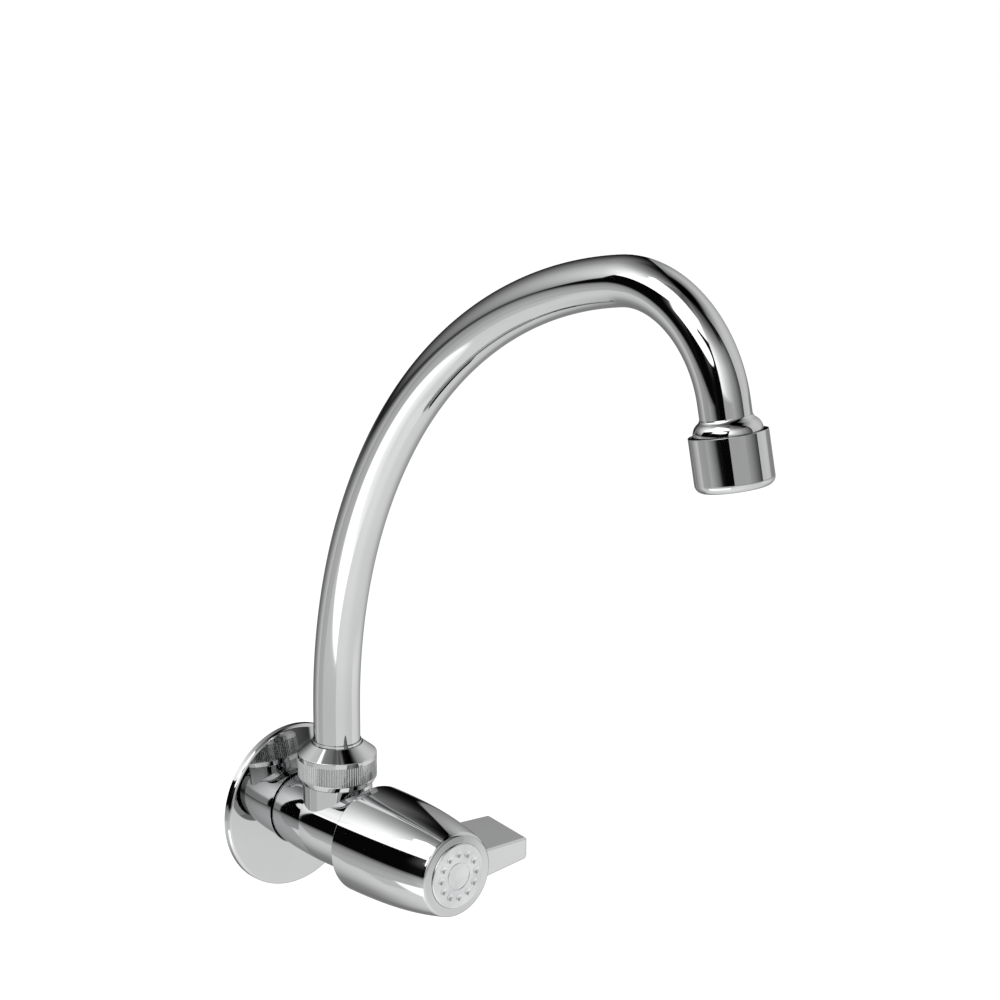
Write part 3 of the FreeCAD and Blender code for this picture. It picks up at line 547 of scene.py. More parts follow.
class NodeSheet:
    """Node tree of one material or of the world, with one method that makes its nodes."""

    def __init__(self, tree: bpy.types.NodeTree) -> None:
        """Clears the tree and takes it over."""
        self.tree = tree
        tree.nodes.clear()

    @classmethod
    def of(cls, owner: bpy.types.Material | bpy.types.World) -> "NodeSheet":
        """Switches on the nodes of a material or world and takes them over."""
        owner.use_nodes = True
        return cls(owner.node_tree)

    def node(self, kind: str, settings: dict | None = None, sockets: dict | None = None) -> bpy.types.Node:
        """Makes one node.

        Args:
            kind: Type of the node.
            settings: The node's own settings, set first; "stops" are the stops of a colour ramp.
            sockets: Values or wires of its inputs, by name or number.

        Returns:
            The node.
        """
        made = self.tree.nodes.new(kind)
        for name, value in (settings or {}).items():
            if name == "stops":
                self._set_stops(made.color_ramp, value)
            else:
                setattr(made, name, value)
        for name, value in (sockets or {}).items():
            if isinstance(value, Wire):
                self.tree.links.new(value.socket, made.inputs[name])
            else:
                made.inputs[name].default_value = value
        return made

    @staticmethod
    def _set_stops(ramp: bpy.types.ColorRamp, stops: Sequence[Pair]) -> None:
        """Gives a ramp its grey stops, each a position and a brightness."""
        while len(ramp.elements) < len(stops):
            ramp.elements.new(1.0)
        for element, (position, grey) in zip(ramp.elements, stops):
            element.position = position
            element.color = (grey, grey, grey, 1.0)

    def wire(self, kind: str, output: str | int = 0, settings: dict | None = None,
             sockets: dict | None = None) -> Wire:
        """Makes one node and gives one of its outputs.

        Args:
            kind: Type of the node.
            output: Name or number of the output.
            settings: The node's own settings.
            sockets: Values or wires of its inputs.

        Returns:
            The output.
        """
        return Wire(self, self.node(kind, settings, sockets).outputs[output])

    def place(self) -> Wire:
        """Position on the piece, in metres."""
        return self.wire("ShaderNodeTexCoord", "Object")

    def looked_at(self) -> Wire:
        """1 where the camera sees the surface, also in metal or through glass, 0 where it only lights."""
        path = self.node("ShaderNodeLightPath")
        rays = [Wire(self, path.outputs[f"Is {kind} Ray"]) for kind in ("Camera", "Glossy", "Transmission")]
        return (rays[0] + rays[1] + rays[2]).smaller(1.0)

    def ramp(self, share: Wire, stops: Sequence[Pair]) -> Wire:
        """Even steps between stops.

        Args:
            share: Place on the ramp, from 0 to 1.
            stops: Each a place on the ramp and a value.

        Returns:
            The value.
        """
        return self.wire("ShaderNodeValToRGB", "Color", {"stops": stops}, {"Fac": share})

    def noise(self, scale: float, detail: float = 3.0, stretch: Triple = (1, 1, 1)) -> Wire:
        """Noise over the piece.

        Args:
            scale: Cells to a metre.
            detail: Octaves.
            stretch: Factor on the scale along each axis.

        Returns:
            The noise, from 0 to 1, about 0.5.
        """
        spot = self.wire("ShaderNodeMapping", 0, {"vector_type": "POINT"},
                         {"Vector": self.place(), "Scale": stretch})
        return self.wire("ShaderNodeTexNoise", "Fac", None,
                         {"Vector": spot, "Scale": scale, "Detail": detail, "Roughness": 0.55})

    def mixed(self, share: Wire, first: Triple, second: Triple) -> Wire:
        """Blend of two colours.

        Args:
            share: Share of the second colour.
            first: Colour at 0.
            second: Colour at 1.

        Returns:
            The colour.
        """
        return self.wire("ShaderNodeMix", 2, {"data_type": "RGBA"},
                         {0: share, 6: (*first, 1.0), 7: (*second, 1.0)})

    def bumped(self, height: Wire, depth: float, strength: float = 1.0) -> Wire:
        """Normal of a fine relief.

        Args:
            height: Height of the relief, from 0 to 1.
            depth: Real depth in metres.
            strength: Strength of the relief.

        Returns:
            The normal.
        """
        return self.wire("ShaderNodeBump", 0, None,
                         {"Strength": strength, "Distance": depth, "Height": height})

    def from_axis(self, origin: Triple, turn: Triple) -> tuple[Wire, Wire]:
        """Distance from an axis, for turned surfaces.

        Args:
            origin: A point on the axis, in metres.
            turn: Rotation, in radians, that brings the axis onto Z.

        Returns:
            The distance from the axis and the height along it, in metres.
        """
        shifted = self.wire("ShaderNodeVectorMath", 0, {"operation": "SUBTRACT"},
                            {0: self.place(), 1: origin})
        local = self.wire("ShaderNodeMapping", 0, {"vector_type": "POINT"},
                          {"Vector": shifted, "Rotation": turn})
        split = self.node("ShaderNodeSeparateXYZ", None, {0: local})
        x, y, height = (Wire(self, split.outputs[i]) for i in range(3))
        return (x * x + y * y).root(), height


# ------------------------------------------------------------------ finishes
@dataclass(frozen=True)
class Finish(ABC):
    """Finish of a surface: one material, and the slot of the record that it belongs to."""

    name: str
    slot: Slot

    def material(self) -> bpy.types.Material:
        """The material, made once and then shared."""
        found = bpy.data.materials.get(self.name)
        if found is None:
            found = bpy.data.materials.new(self.name)
            sheet = NodeSheet.of(found)
            sheet.node("ShaderNodeOutputMaterial", None, {"Surface": self.surface(sheet)})
        return found

    @abstractmethod
    def surface(self, sheet: NodeSheet) -> Wire:
        """Builds the surface shader on an empty sheet and gives its output."""


@dataclass(frozen=True)
class PolishedChrome(Finish):
    """Mirror chrome: faint polishing haze and a long, very shallow ripple."""

    grey: float = 0.56
    sheen: float = 0.034
    haze: float = 0.02
    ripple: float = 6e-6
    edge: float = 0.55

    def surface(self, sheet: NodeSheet) -> Wire:
        """Mirror metal with a little haze."""
        cloud = sheet.noise(38, 4)
        streak = sheet.noise(900, 2, (1.0, 0.06, 1.0))
        tint = (self.grey, self.grey * 1.006, self.grey * 1.012)
        dull = dimmed(tint, 0.975)
        color = sheet.mixed(cloud.stepped(0.35, 0.7), tint, dull)
        cloudy = cloud.stepped(0.45, 0.75) * self.haze * 0.5
        rough = self.sheen + cloudy + streak.stepped(0.6, 0.8) * self.haze * 0.3
        normal = sheet.bumped(sheet.noise(75, 2), self.ripple)
        return sheet.wire("ShaderNodeBsdfPrincipled", 0, None, {
            "Base Color": color, "Metallic": 1.0, "Roughness": rough, "Normal": normal,
            "Specular Tint": (self.edge, self.edge, self.edge, 1.0),
        })


@dataclass(frozen=True)
class TurnedMetal(Finish):
    """Metal with the fine rings that a lathe leaves about an axis."""

    color: Triple
    rough: float
    origin: Triple
    turn: Triple
    pitch: float = 0.00018
    depth: float = 2.5e-6

    def surface(self, sheet: NodeSheet) -> Wire:
        """Metal with turning marks."""
        radius, height = sheet.from_axis(self.origin, self.turn)
        wander = sheet.noise(240, 3)
        rings = ((radius + height * 0.7 + wander * 0.00008) * (math.tau / self.pitch)).sine() * 0.5 + 0.5
        fade = sheet.noise(120, 2).stepped(0.3, 0.75)
        worn = dimmed(self.color, 0.9)
        rough = self.rough + rings * 0.05 + fade * 0.08
        return sheet.wire("ShaderNodeBsdfPrincipled", 0, None, {
            "Base Color": sheet.mixed(fade, self.color, worn),
            "Metallic": 1.0,
            "Roughness": rough,
            "Normal": sheet.bumped(rings * 0.7 + wander * 0.3, self.depth),
        })


@dataclass(frozen=True)
class BrushedSteel(Finish):
    """Stainless steel with short brush marks."""

    color: Triple = (0.52, 0.53, 0.54)

    def surface(self, sheet: NodeSheet) -> Wire:
        """Metal with brush marks along X."""
        marks = sheet.noise(2600, 4, (0.05, 1.0, 1.0))
        darker = dimmed(self.color, 0.82)
        return sheet.wire("ShaderNodeBsdfPrincipled", 0, None, {
            "Base Color": sheet.mixed(marks.stepped(0.3, 0.7), self.color, darker),
            "Metallic": 1.0,
            "Roughness": 0.26 + marks * 0.16,
            "Normal": sheet.bumped(marks, 4e-6),
        })


@dataclass(frozen=True)
class Moulding(Finish):
    """Moulded plastic, rubber or ceramic: fine grain, slight mottling and a soft gloss."""

    color: Triple
    rough: float
    grain: float = 2200.0
    depth: float = 8e-6
    mottle: float = 0.12

    def surface(self, sheet: NodeSheet) -> Wire:
        """Matt or glossy moulded surface."""
        grain = sheet.noise(self.grain, 3)
        cloud = sheet.noise(130, 3)
        darker = dimmed(self.color, 1 - self.mottle)
        return sheet.wire("ShaderNodeBsdfPrincipled", 0, None, {
            "Base Color": sheet.mixed(cloud.stepped(0.3, 0.7), self.color, darker),
            "Roughness": self.rough + cloud * 0.08 + grain * 0.06,
            "Normal": sheet.bumped(grain, self.depth),
        })


# ------------------------------------------------------------------ placements
class Axes:
    """Placements whose third axis is the axis that a group of pieces is turned about."""

    BODY: ClassVar[Matrix] = Matrix.Rotation(math.radians(90), 4, "X")
    SPOUT_OUT: ClassVar[float] = 29.5
    SPOUT: ClassVar[Matrix] = Matrix.Translation((0, -SPOUT_OUT, 0))


@dataclass(frozen=True)
class Gooseneck:
    """Centre line of the spout tube: a straight foot, three bends that run on, a straight end."""

    foot_z: float = 29.05
    first_bend_z: float = 46.0
    bends: tuple[Pair, ...] = ((207.5, 33.6), (193.2, 44.6), (42.3, 89.2))
    end_straight: float = 10.4
    socket: float = 3.0
    pace: float = 2.0

    @staticmethod
    def along(heading: float) -> Vector:
        """Unit vector along the tube at a heading."""
        return Vector((0, -math.sin(heading), math.cos(heading)))

    @staticmethod
    def outward(heading: float) -> Vector:
        """Unit vector across the tube at a heading, away from the middle of the bend."""
        return Vector((0, math.cos(heading), math.sin(heading)))

    def stations(self) -> list[tuple[Vector, float]]:
        """Points along the centre line.

        Returns:
            Each point and the tube's heading there, in radians from straight up towards the room.
        """
        here = Vector((0, -Axes.SPOUT_OUT, self.foot_z))
        found = [(here, 0.0)]
        found += self._straight(here, 0.0, self.first_bend_z - self.foot_z)
        for radius, degrees in self.bends:
            here, heading = found[-1]
            centre = here - self.outward(heading) * radius
            sweep = math.radians(degrees)
            count = math.ceil(radius * sweep / self.pace)
            for k in range(1, count + 1):
                angle = heading + sweep * k / count
                found.append((centre + self.outward(angle) * radius, angle))
        here, heading = found[-1]
        return found + self._straight(here, heading, self.end_straight + self.socket)

    def _straight(self, start: Vector, heading: float, length: float) -> list[tuple[Vector, float]]:
        """Points along a straight stretch, without its first."""
        way = self.along(heading)
        count = math.ceil(length / self.pace)
        return [(start + way * (length * k / count), heading) for k in range(1, count + 1)]

    def outlet(self) -> Matrix:
        """Placement at the rim of the aerator shell, with its third axis along the flow."""
        end, heading = self.stations()[-1]
        rim = end - self.along(heading) * self.socket
        return Matrix.Translation(rim) @ Matrix.Rotation(heading, 4, "X")


# ------------------------------------------------------------------ pieces
def shown(mesh: bpy.types.Mesh, name: str, finish: Finish, body: Body, *stands_for: str) -> None:
    """Puts a finished mesh in the scene.

    Args:
        mesh: The mesh, in metres, in the frame's axes.
        name: Name of the piece.
        finish: Its finish.
        body: Body that it moves with.
        stands_for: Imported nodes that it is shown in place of.
    """
    piece = linked(name, mesh)
    mesh.materials.clear()
    mesh.materials.append(finish.material())
    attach(piece, body.value)
    if stands_for:
        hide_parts(*stands_for)
        report_fit(piece, stands_for)


def turned_piece(outline: Outline, axis: Matrix, count: int, name: str, finish: Finish, body: Body,
                 *stands_for: str) -> None:
    """Turns an outline and puts it in the scene.

    Args:
        outline: The outline in (radius, height).
        axis: Placement whose third axis is the turning axis.
        count: Faces round the piece.
        name: Name of the piece.
        finish: Its finish.
        body: Body that it moves with.
        stands_for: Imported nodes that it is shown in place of.
    """
    mesh = Shell.turned(outline, axis, count).raw_mesh(name, MM)
    shown(mesh, name, finish, body, *stands_for)


def report_fit(piece: bpy.types.Object, nodes: Sequence[str]) -> None:
    """Logs how far a piece's box is from the box of the nodes that it stands for."""
    boxes = [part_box(node) for node in nodes]
    spots = [vertex.co for vertex in piece.data.vertices]
    worst = 0.0
    for axis in range(3):
        low = min(box[0][axis] for box in boxes) - min(spot[axis] for spot in spots)
        high = max(spot[axis] for spot in spots) - max(box[1][axis] for box in boxes)
        worst = max(worst, low, high, key=abs)
    log.info("%s: %d faces, box off by %.3f mm", piece.name, len(piece.data.polygons), worst / MM)


class Copies:
    """Geometry node tree that sets copies of a mesh evenly round an axis."""

    TREE: ClassVar[str] = "ring_of_copies"
    ENDS: ClassVar[tuple[tuple[str, str, str], ...]] = (
        ("Geometry", "INPUT", "Geometry"), ("Count", "INPUT", "Int"), ("Start", "INPUT", "Float"),
        ("Material", "INPUT", "Material"), ("Geometry", "OUTPUT", "Geometry"))

    @classmethod
    def tree(cls) -> bpy.types.NodeTree:
        """The tree, made once: inputs Geometry, Count, Start and Material."""
        found = bpy.data.node_groups.get(cls.TREE)
        if found is not None:
            return found
        tree = bpy.data.node_groups.new(cls.TREE, "GeometryNodeTree")
        for name, way, kind in cls.ENDS:
            tree.interface.new_socket(name, in_out=way, socket_type=f"NodeSocket{kind}")
        sheet = NodeSheet(tree)
        given = sheet.node("NodeGroupInput").outputs
        source, count, start, paint = (Wire(sheet, given[i]) for i in range(4))
        turn = sheet.wire("GeometryNodeInputIndex") * (math.tau / count) + start
        spots = sheet.wire("GeometryNodePoints", 0, None, {"Count": count})
        about_z = sheet.wire("ShaderNodeCombineXYZ", 0, None, {"Z": turn})
        copies = sheet.wire("GeometryNodeInstanceOnPoints", 0, None,
                            {"Points": spots, "Instance": source, "Rotation": about_z})
        real = sheet.wire("GeometryNodeRealizeInstances", 0, None, {0: copies})
        painted = sheet.wire("GeometryNodeSetMaterial", 0, None, {"Geometry": real, "Material": paint})
        sheet.node("NodeGroupOutput", None, {0: painted})
        return tree

    @classmethod
    def ring(cls, single: bpy.types.Mesh, count: int, finish: Finish, start: float = 0.0) -> bpy.types.Mesh:
        """Sets copies of a mesh round its own Z axis.

        Args:
            single: The mesh of one copy.
            count: Number of copies.
            finish: Finish of all of them.
            start: Angle of the first, in radians.

        Returns:
            One plain mesh.
        """
        holder = linked("ring", single)
        modifier = holder.modifiers.new("ring", "NODES")
        modifier.node_group = cls.tree()
        wanted = {"Count": count, "Start": start, "Material": finish.material()}
        for item in modifier.node_group.interface.items_tree:
            if item.in_out == "INPUT" and item.name in wanted:
                modifier[item.identifier] = wanted[item.name]
        mesh = evaluated_mesh(holder)
        bpy.data.objects.remove(holder)
        return mesh


def shell_of(mesh: bpy.types.Mesh) -> Shell:
    """Reads a plain mesh back as a shell, with the normals that it shows."""
    shell = Shell()
    shell.points = [vertex.co.copy() for vertex in mesh.vertices]
    for polygon in mesh.polygons:
        shell.faces.append(list(polygon.vertices))
        shell.corners.append([mesh.corner_normals[i].vector.copy() for i in polygon.loop_indices])
    return shell


@dataclass
class Finishes:
    """Every finish of the faucet."""

    chrome: Finish = PolishedChrome("chrome_mirror", Slot.CHROME)
    knurl: Finish = PolishedChrome("chrome_knurl", Slot.CHROME, sheen=0.2)
    tube: Finish = PolishedChrome("chrome_mirror_tube", Slot.CHROME, ripple=4e-6)
    button: Finish = TurnedMetal("button_satin", Slot.BUTTON, (0.70, 0.704, 0.71), 0.22, (0, 0, 0),
                                 (math.radians(-90), 0, 0), pitch=0.00022)
    inlet_brass: Finish = TurnedMetal("brass_inlet", Slot.BRASS, (0.60, 0.38, 0.14), 0.24, (0, 0, 0),
                                      (math.radians(-90), 0, 0))
    spout_brass: Finish = TurnedMetal("brass_spout", Slot.BRASS, (0.60, 0.38, 0.14), 0.24,
                                      (0, -Axes.SPOUT_OUT * MM, 0), (0, 0, 0))
    rubber: Finish = Moulding("rubber_black", Slot.RUBBER, (0.022, 0.022, 0.024), 0.5)
    ceramic: Finish = Moulding("ceramic_white", Slot.CERAMIC, (0.80, 0.78, 0.73), 0.12, 900.0, 2e-6, 0.04)
    steel: Finish = BrushedSteel("steel_brushed", Slot.STEEL)
    acetal: Finish = Moulding("acetal_white", Slot.ACETAL, (0.76, 0.76, 0.73), 0.36)
    grey: Finish = Moulding("acetal_grey", Slot.GREY, (0.30, 0.31, 0.32), 0.38)


@dataclass
class WallFlange:
    """Pressed domed flange and the rubber ring behind it."""

    finishes: Finishes
    radius: float = 32.5
    sheet: float = 0.8
    rim_wall: float = 1.8
    rim_round: float = 1.5
    rim_turn: float = 78.0
    dome_top: float = 5.9
    hole: float = 14.25
    lip: float = 4.3
    grip_low: float = 2.2
    body_rear: float = 13.9

    def rim(self, degrees: float) -> Pair:
        """Point of the rounded rim, from the side wall at 0 to the dome at rim_turn."""
        angle = math.radians(degrees)
        return (self.radius - self.rim_round * (1 - math.cos(angle)),
                self.rim_wall + self.rim_round * math.sin(angle))

    def dome(self, radius: float, depth: float = 0.0) -> float:
        """Height of the domed face.

        Args:
            radius: Distance from the axis.
            depth: Depth below the face.

        Returns:
            The height over the wall.
        """
        foot, foot_height = self.rim(self.rim_turn)
        rise = self.dome_top - foot_height
        ball = (foot ** 2 - self.hole ** 2) / (2 * rise) + rise / 2
        centre = foot_height - math.sqrt(ball ** 2 - foot ** 2)
        return centre + math.sqrt((ball - depth) ** 2 - radius ** 2)

    def build(self) -> None:
        """Makes both pieces."""
        foot = self.rim(self.rim_turn)[0]
        middle = (foot + self.hole) / 2
        turn_in = 0.5
        back = self.hole + self.sheet
        edge = self.radius - 1.2
        back_foot = edge - 0.7
        outline = Outline(
            (self.radius, 0, 0.15),
            (self.radius, self.rim_wall),
            (self.rim(self.rim_turn / 2), self.rim(self.rim_turn)),
            ((middle, self.dome(middle)), (self.hole + turn_in, self.dome(self.hole + turn_in))),
            ((self.hole + 0.14, self.dome_top - 0.16), (self.hole, self.dome_top - turn_in)),
            (self.hole, self.lip),
            (back, self.lip),
            (back, self.dome(back, self.sheet)),
            ((middle, self.dome(middle, self.sheet)), (back_foot, self.dome(back_foot, self.sheet))),
            (edge, self.rim_wall),
            (edge, 0),
        )
        turned_piece(outline, Axes.BODY, 288, "wall_flange_polished", self.finishes.chrome, Body.TAP,
                     "wall_escutcheon")
        ring = Outline((self.body_rear, self.grip_low), (self.hole + 2, self.grip_low, 0.3),
                       (self.hole + 2, self.lip, 0.3), (self.body_rear, self.lip))
        turned_piece(ring, Axes.BODY, 96, "flange_grip_ring", self.finishes.rubber, Body.TAP,
                     "escutcheon_grip_ring")


@dataclass
class ValveBody:
    """Horizontal body with its flare, the spout boss and the bores."""

    finishes: Finishes
    rear: float = 0.8
    rear_radius: float = 13.9
    radius: float = 15.9
    flare_start: float = 5.6
    flare_end: float = 33.2
    front: float = 56.0
    boss_radius: float = 13.4
    boss_thread: float = 13.15
    shoulder: float = 17.6
    boss_top: float = 27.0
    spout_bore: float = 9.55
    bore_floor: float = 11.0
    inlet_bore: float = 10.5
    inlet_floor: float = 10.2
    waterway: float = 6.5
    chamber: float = 12.2
    seat: float = 20.0
    chamber_front: float = 45.5
    bonnet_bore: float = 10.5
    collar_bore: float = 12.6
    collar_floor: float = 54.2

    def build(self) -> None:
        """Makes the body as one carved shell."""
        flare_radius = self.rear_radius + 0.75 * (self.radius - self.rear_radius)
        flare_middle = (self.flare_start + self.flare_end) / 2
        barrel = Outline(
            (0, self.rear),
            (self.rear_radius, self.rear, 0.4),
            (self.rear_radius, self.flare_start),
            ((flare_radius, flare_middle), (self.radius, self.flare_end)),
            (self.radius, self.front, 0.5),
            (0, self.front),
        )
        boss = Outline(
            (0, 0),
            (self.boss_radius, 0),
            (self.boss_radius, self.shoulder, 0.12),
            (self.boss_thread, self.shoulder),
            (self.boss_thread, self.boss_top, 0.4),
            (0, self.boss_top),
        )
        bores = Outline(
            (0, -1),
            (self.inlet_bore, -1),
            (self.inlet_bore, self.inlet_floor),
            (self.waterway, self.inlet_floor),
            (self.waterway, self.seat),
            (self.chamber, self.seat),
            (self.chamber, self.chamber_front),
            (self.bonnet_bore, self.chamber_front),
            (self.bonnet_bore, self.collar_floor),
            (self.collar_bore, self.collar_floor),
            (self.collar_bore, self.front + 1),
            (0, self.front + 1),
        )
        well = Outline((0, self.bore_floor), (self.spout_bore, self.bore_floor),
                       (self.spout_bore, self.boss_top + 1), (0, self.boss_top + 1))
        shell = Shell.turned(barrel, Axes.BODY, 224)
        shell = shell.carved(Shell.turned(boss, Axes.SPOUT, 224), Carve.JOIN)
        shell = shell.carved(Shell.turned(bores, Axes.BODY, 96), Carve.CUT)
        shell = shell.carved(Shell.turned(well, Axes.SPOUT, 96), Carve.CUT)
        shown(shell.raw_mesh("body", MM), "valve_body_polished", self.finishes.chrome, Body.TAP,
              "valve_body")


@dataclass
class InletNipple:
    """Brass nipple with a true G1/2 thread."""

    finishes: Finishes
    radius: float = 10.48
    length: float = 20.0
    bore: float = 7.5
    pitch: float = 1.814
    depth: float = 1.16
    chamfer: float = 1.25
    relief: float = 9.38
    relief_end: float = 2.5
    inner_end: float = 9.2
    columns: int = 72
    rows_to_pitch: int = 12

    def _radius_at(self, share: float, height: float) -> float:
        """Radius of the thread.

        Args:
            share: Place within one pitch, from 0 to 1, with the crest at 0.
            height: Height along the axis, which fades the thread out at both ends.

        Returns:
            The radius.
        """
        from_crest = abs(share - round(share)) * self.pitch
        flank = (from_crest - 0.24) / math.tan(math.radians(27.5))
        cut = min(max(flank, 0.0), self.depth)
        soft = self.depth * (0.5 - 0.5 * math.cos(math.pi * cut / self.depth)) * 0.35 + cut * 0.65
        end = self.radius - self.chamfer + (height + self.length)
        run_out = self.relief + max(0.0, -height) * 1.2
        return min(self.radius - soft, end, max(run_out, self.relief))

    def build(self) -> None:
        """Makes the threaded nipple."""
        shell = Shell()
        turns = math.ceil(self.length / self.pitch) + 1
        rows = []
        for row in range(turns * self.rows_to_pitch + 1):
            ring = []
            for column in range(self.columns + 1):
                share = column / self.columns
                height = -self.length + (row / self.rows_to_pitch + share - 1) * self.pitch
                clamped = min(max(height, -self.length), 0.0)
                angle = math.tau * share
                radius = self._radius_at(row / self.rows_to_pitch, clamped)
                ring.append(Axes.BODY @ Vector((radius * math.cos(angle), radius * math.sin(angle), clamped)))
            rows.append(ring)
        for low, high in zip(rows, rows[1:]):
            for here in range(self.columns):
                quad = [low[here], low[here + 1], high[here + 1], high[here]]
                across = (quad[2] - quad[0]).cross(quad[3] - quad[1])
                if across.length > NUDGE:
                    middle = sum(quad, Vector()) / 4
                    outward = Vector((middle.x, 0, middle.z))
                    normal = across.normalized() * (1 if across.dot(outward) > 0 else -1)
                    shell.face(quad, [normal] * 4)
        tail = Outline(
            (self.relief, 0), (self.relief, self.relief_end, 0.2), (self.radius, self.relief_end, 0.2),
            (self.radius, self.inner_end), (self.bore, self.inner_end), (self.bore, -self.length, 0.2),
            (self.radius - self.chamfer, -self.length),
        )
        tail.runs.pop()
        rest = Shell.turned(tail, Axes.BODY, self.columns)
        for face, corners in zip(rest.faces, rest.corners):
            shell.face([rest.points[i] for i in face], corners)
        mesh = shell.raw_mesh("nipple", MM)
        shown(mesh, "inlet_nipple_threaded", self.finishes.inlet_brass, Body.TAP, "inlet_nipple")


@dataclass
class UnionNut:
    """Knurled union nut, and the guide ring whose lip shows above it."""

    finishes: Finishes
    radius: float = 15.2
    bottom: float = 17.9
    bottom_radius: float = 13.9
    knurl_bottom: float = 20.5
    knurl_top: float = 27.6
    knurl_count: int = 96
    knurl_depth: float = 0.3
    band_top: float = 29.55
    top: float = 33.7
    top_radius: float = 9.95
    hole: float = 9.55
    shoulder: float = 29.9
    thread: float = 13.2
    chamber: float = 12.5
    chamber_floor: float = 27.3
    tube_radius: float = 9.0
    ring_top: float = 34.8
    ring_floor: float = 29.1
    ring_flange: float = 12.2

    def build(self) -> None:
        """Makes the nut, its knurl and the guide ring."""
        floor = self.radius - self.knurl_depth
        outline = Outline(
            (self.thread, self.bottom),
            (self.bottom_radius, self.bottom, 0.2),
            (self.radius - 0.05, self.knurl_bottom - 0.45, 0.3),
            (self.radius - 0.05, self.knurl_bottom, 0.08),
            (floor, self.knurl_bottom),
            (floor, self.knurl_top),
            (self.radius, self.knurl_top, 0.1),
            (self.radius, self.band_top, 0.5),
            (self.top_radius, self.top, 0.15),
            (self.hole, self.top),
            (self.hole, self.shoulder),
            (self.chamber, self.shoulder),
            (self.chamber, self.chamber_floor),
            (self.thread, self.chamber_floor),
        )
        turned_piece(outline, Axes.SPOUT, 224, "spout_nut_polished", self.finishes.chrome, Body.TAP,
                     "spout_nut")
        teeth = Copies.ring(self._tooth(), self.knurl_count, self.finishes.knurl)
        teeth.transform(Matrix.Scale(MM, 4) @ Axes.SPOUT)
        shown(teeth, "spout_nut_knurl", self.finishes.knurl, Body.TAP)
        self._guide_ring()

    def _tooth(self) -> bpy.types.Mesh:
        """One ridge of the knurl, sunk a little into the nut, with a narrow rounded crest."""
        pitch = math.tau / self.knurl_count
        sunk = self.radius - self.knurl_depth - 0.12
        shares = ((-0.5, sunk), (-0.42, self.radius - self.knurl_depth), (-0.17, self.radius - 0.03),
                  (-0.08, self.radius), (0.08, self.radius), (0.17, self.radius - 0.03),
                  (0.42, self.radius - self.knurl_depth), (0.5, sunk))
        low = [Vector((r * math.cos(a * pitch), r * math.sin(a * pitch), self.knurl_bottom))
               for a, r in shares]
        high = [point + Vector((0, 0, self.knurl_top - self.knurl_bottom)) for point in low]
        inward = Vector((-1, 0, 0))
        shell = Shell()
        for i in range(len(shares)):
            onward = (i + 1) % len(shares)
            way = low[onward] - low[i]
            normal = Vector((way.y, -way.x, 0)).normalized() if onward else inward
            shell.face([low[i], low[onward], high[onward], high[i]], [normal] * 4)
        shell.face(low, [Vector((0, 0, -1))] * len(low))
        shell.face(high, [Vector((0, 0, 1))] * len(high))
        return shell.raw_mesh("tooth")

    def _guide_ring(self) -> None:
        """Makes the flanged ring round the tube's foot."""
        inner = self.tube_radius + 0.06
        outer = self.hole - 0.05
        outline = Outline(
            (inner, self.ring_floor), (self.ring_flange, self.ring_floor), (self.ring_flange, self.shoulder),
            (outer, self.shoulder), (outer, self.ring_top, 0.22), (inner, self.ring_top, 0.1),
        )
        turned_piece(outline, Axes.SPOUT, 160, "guide_ring_polished", self.finishes.chrome, Body.TAP,
                     "spout_guide_ring")


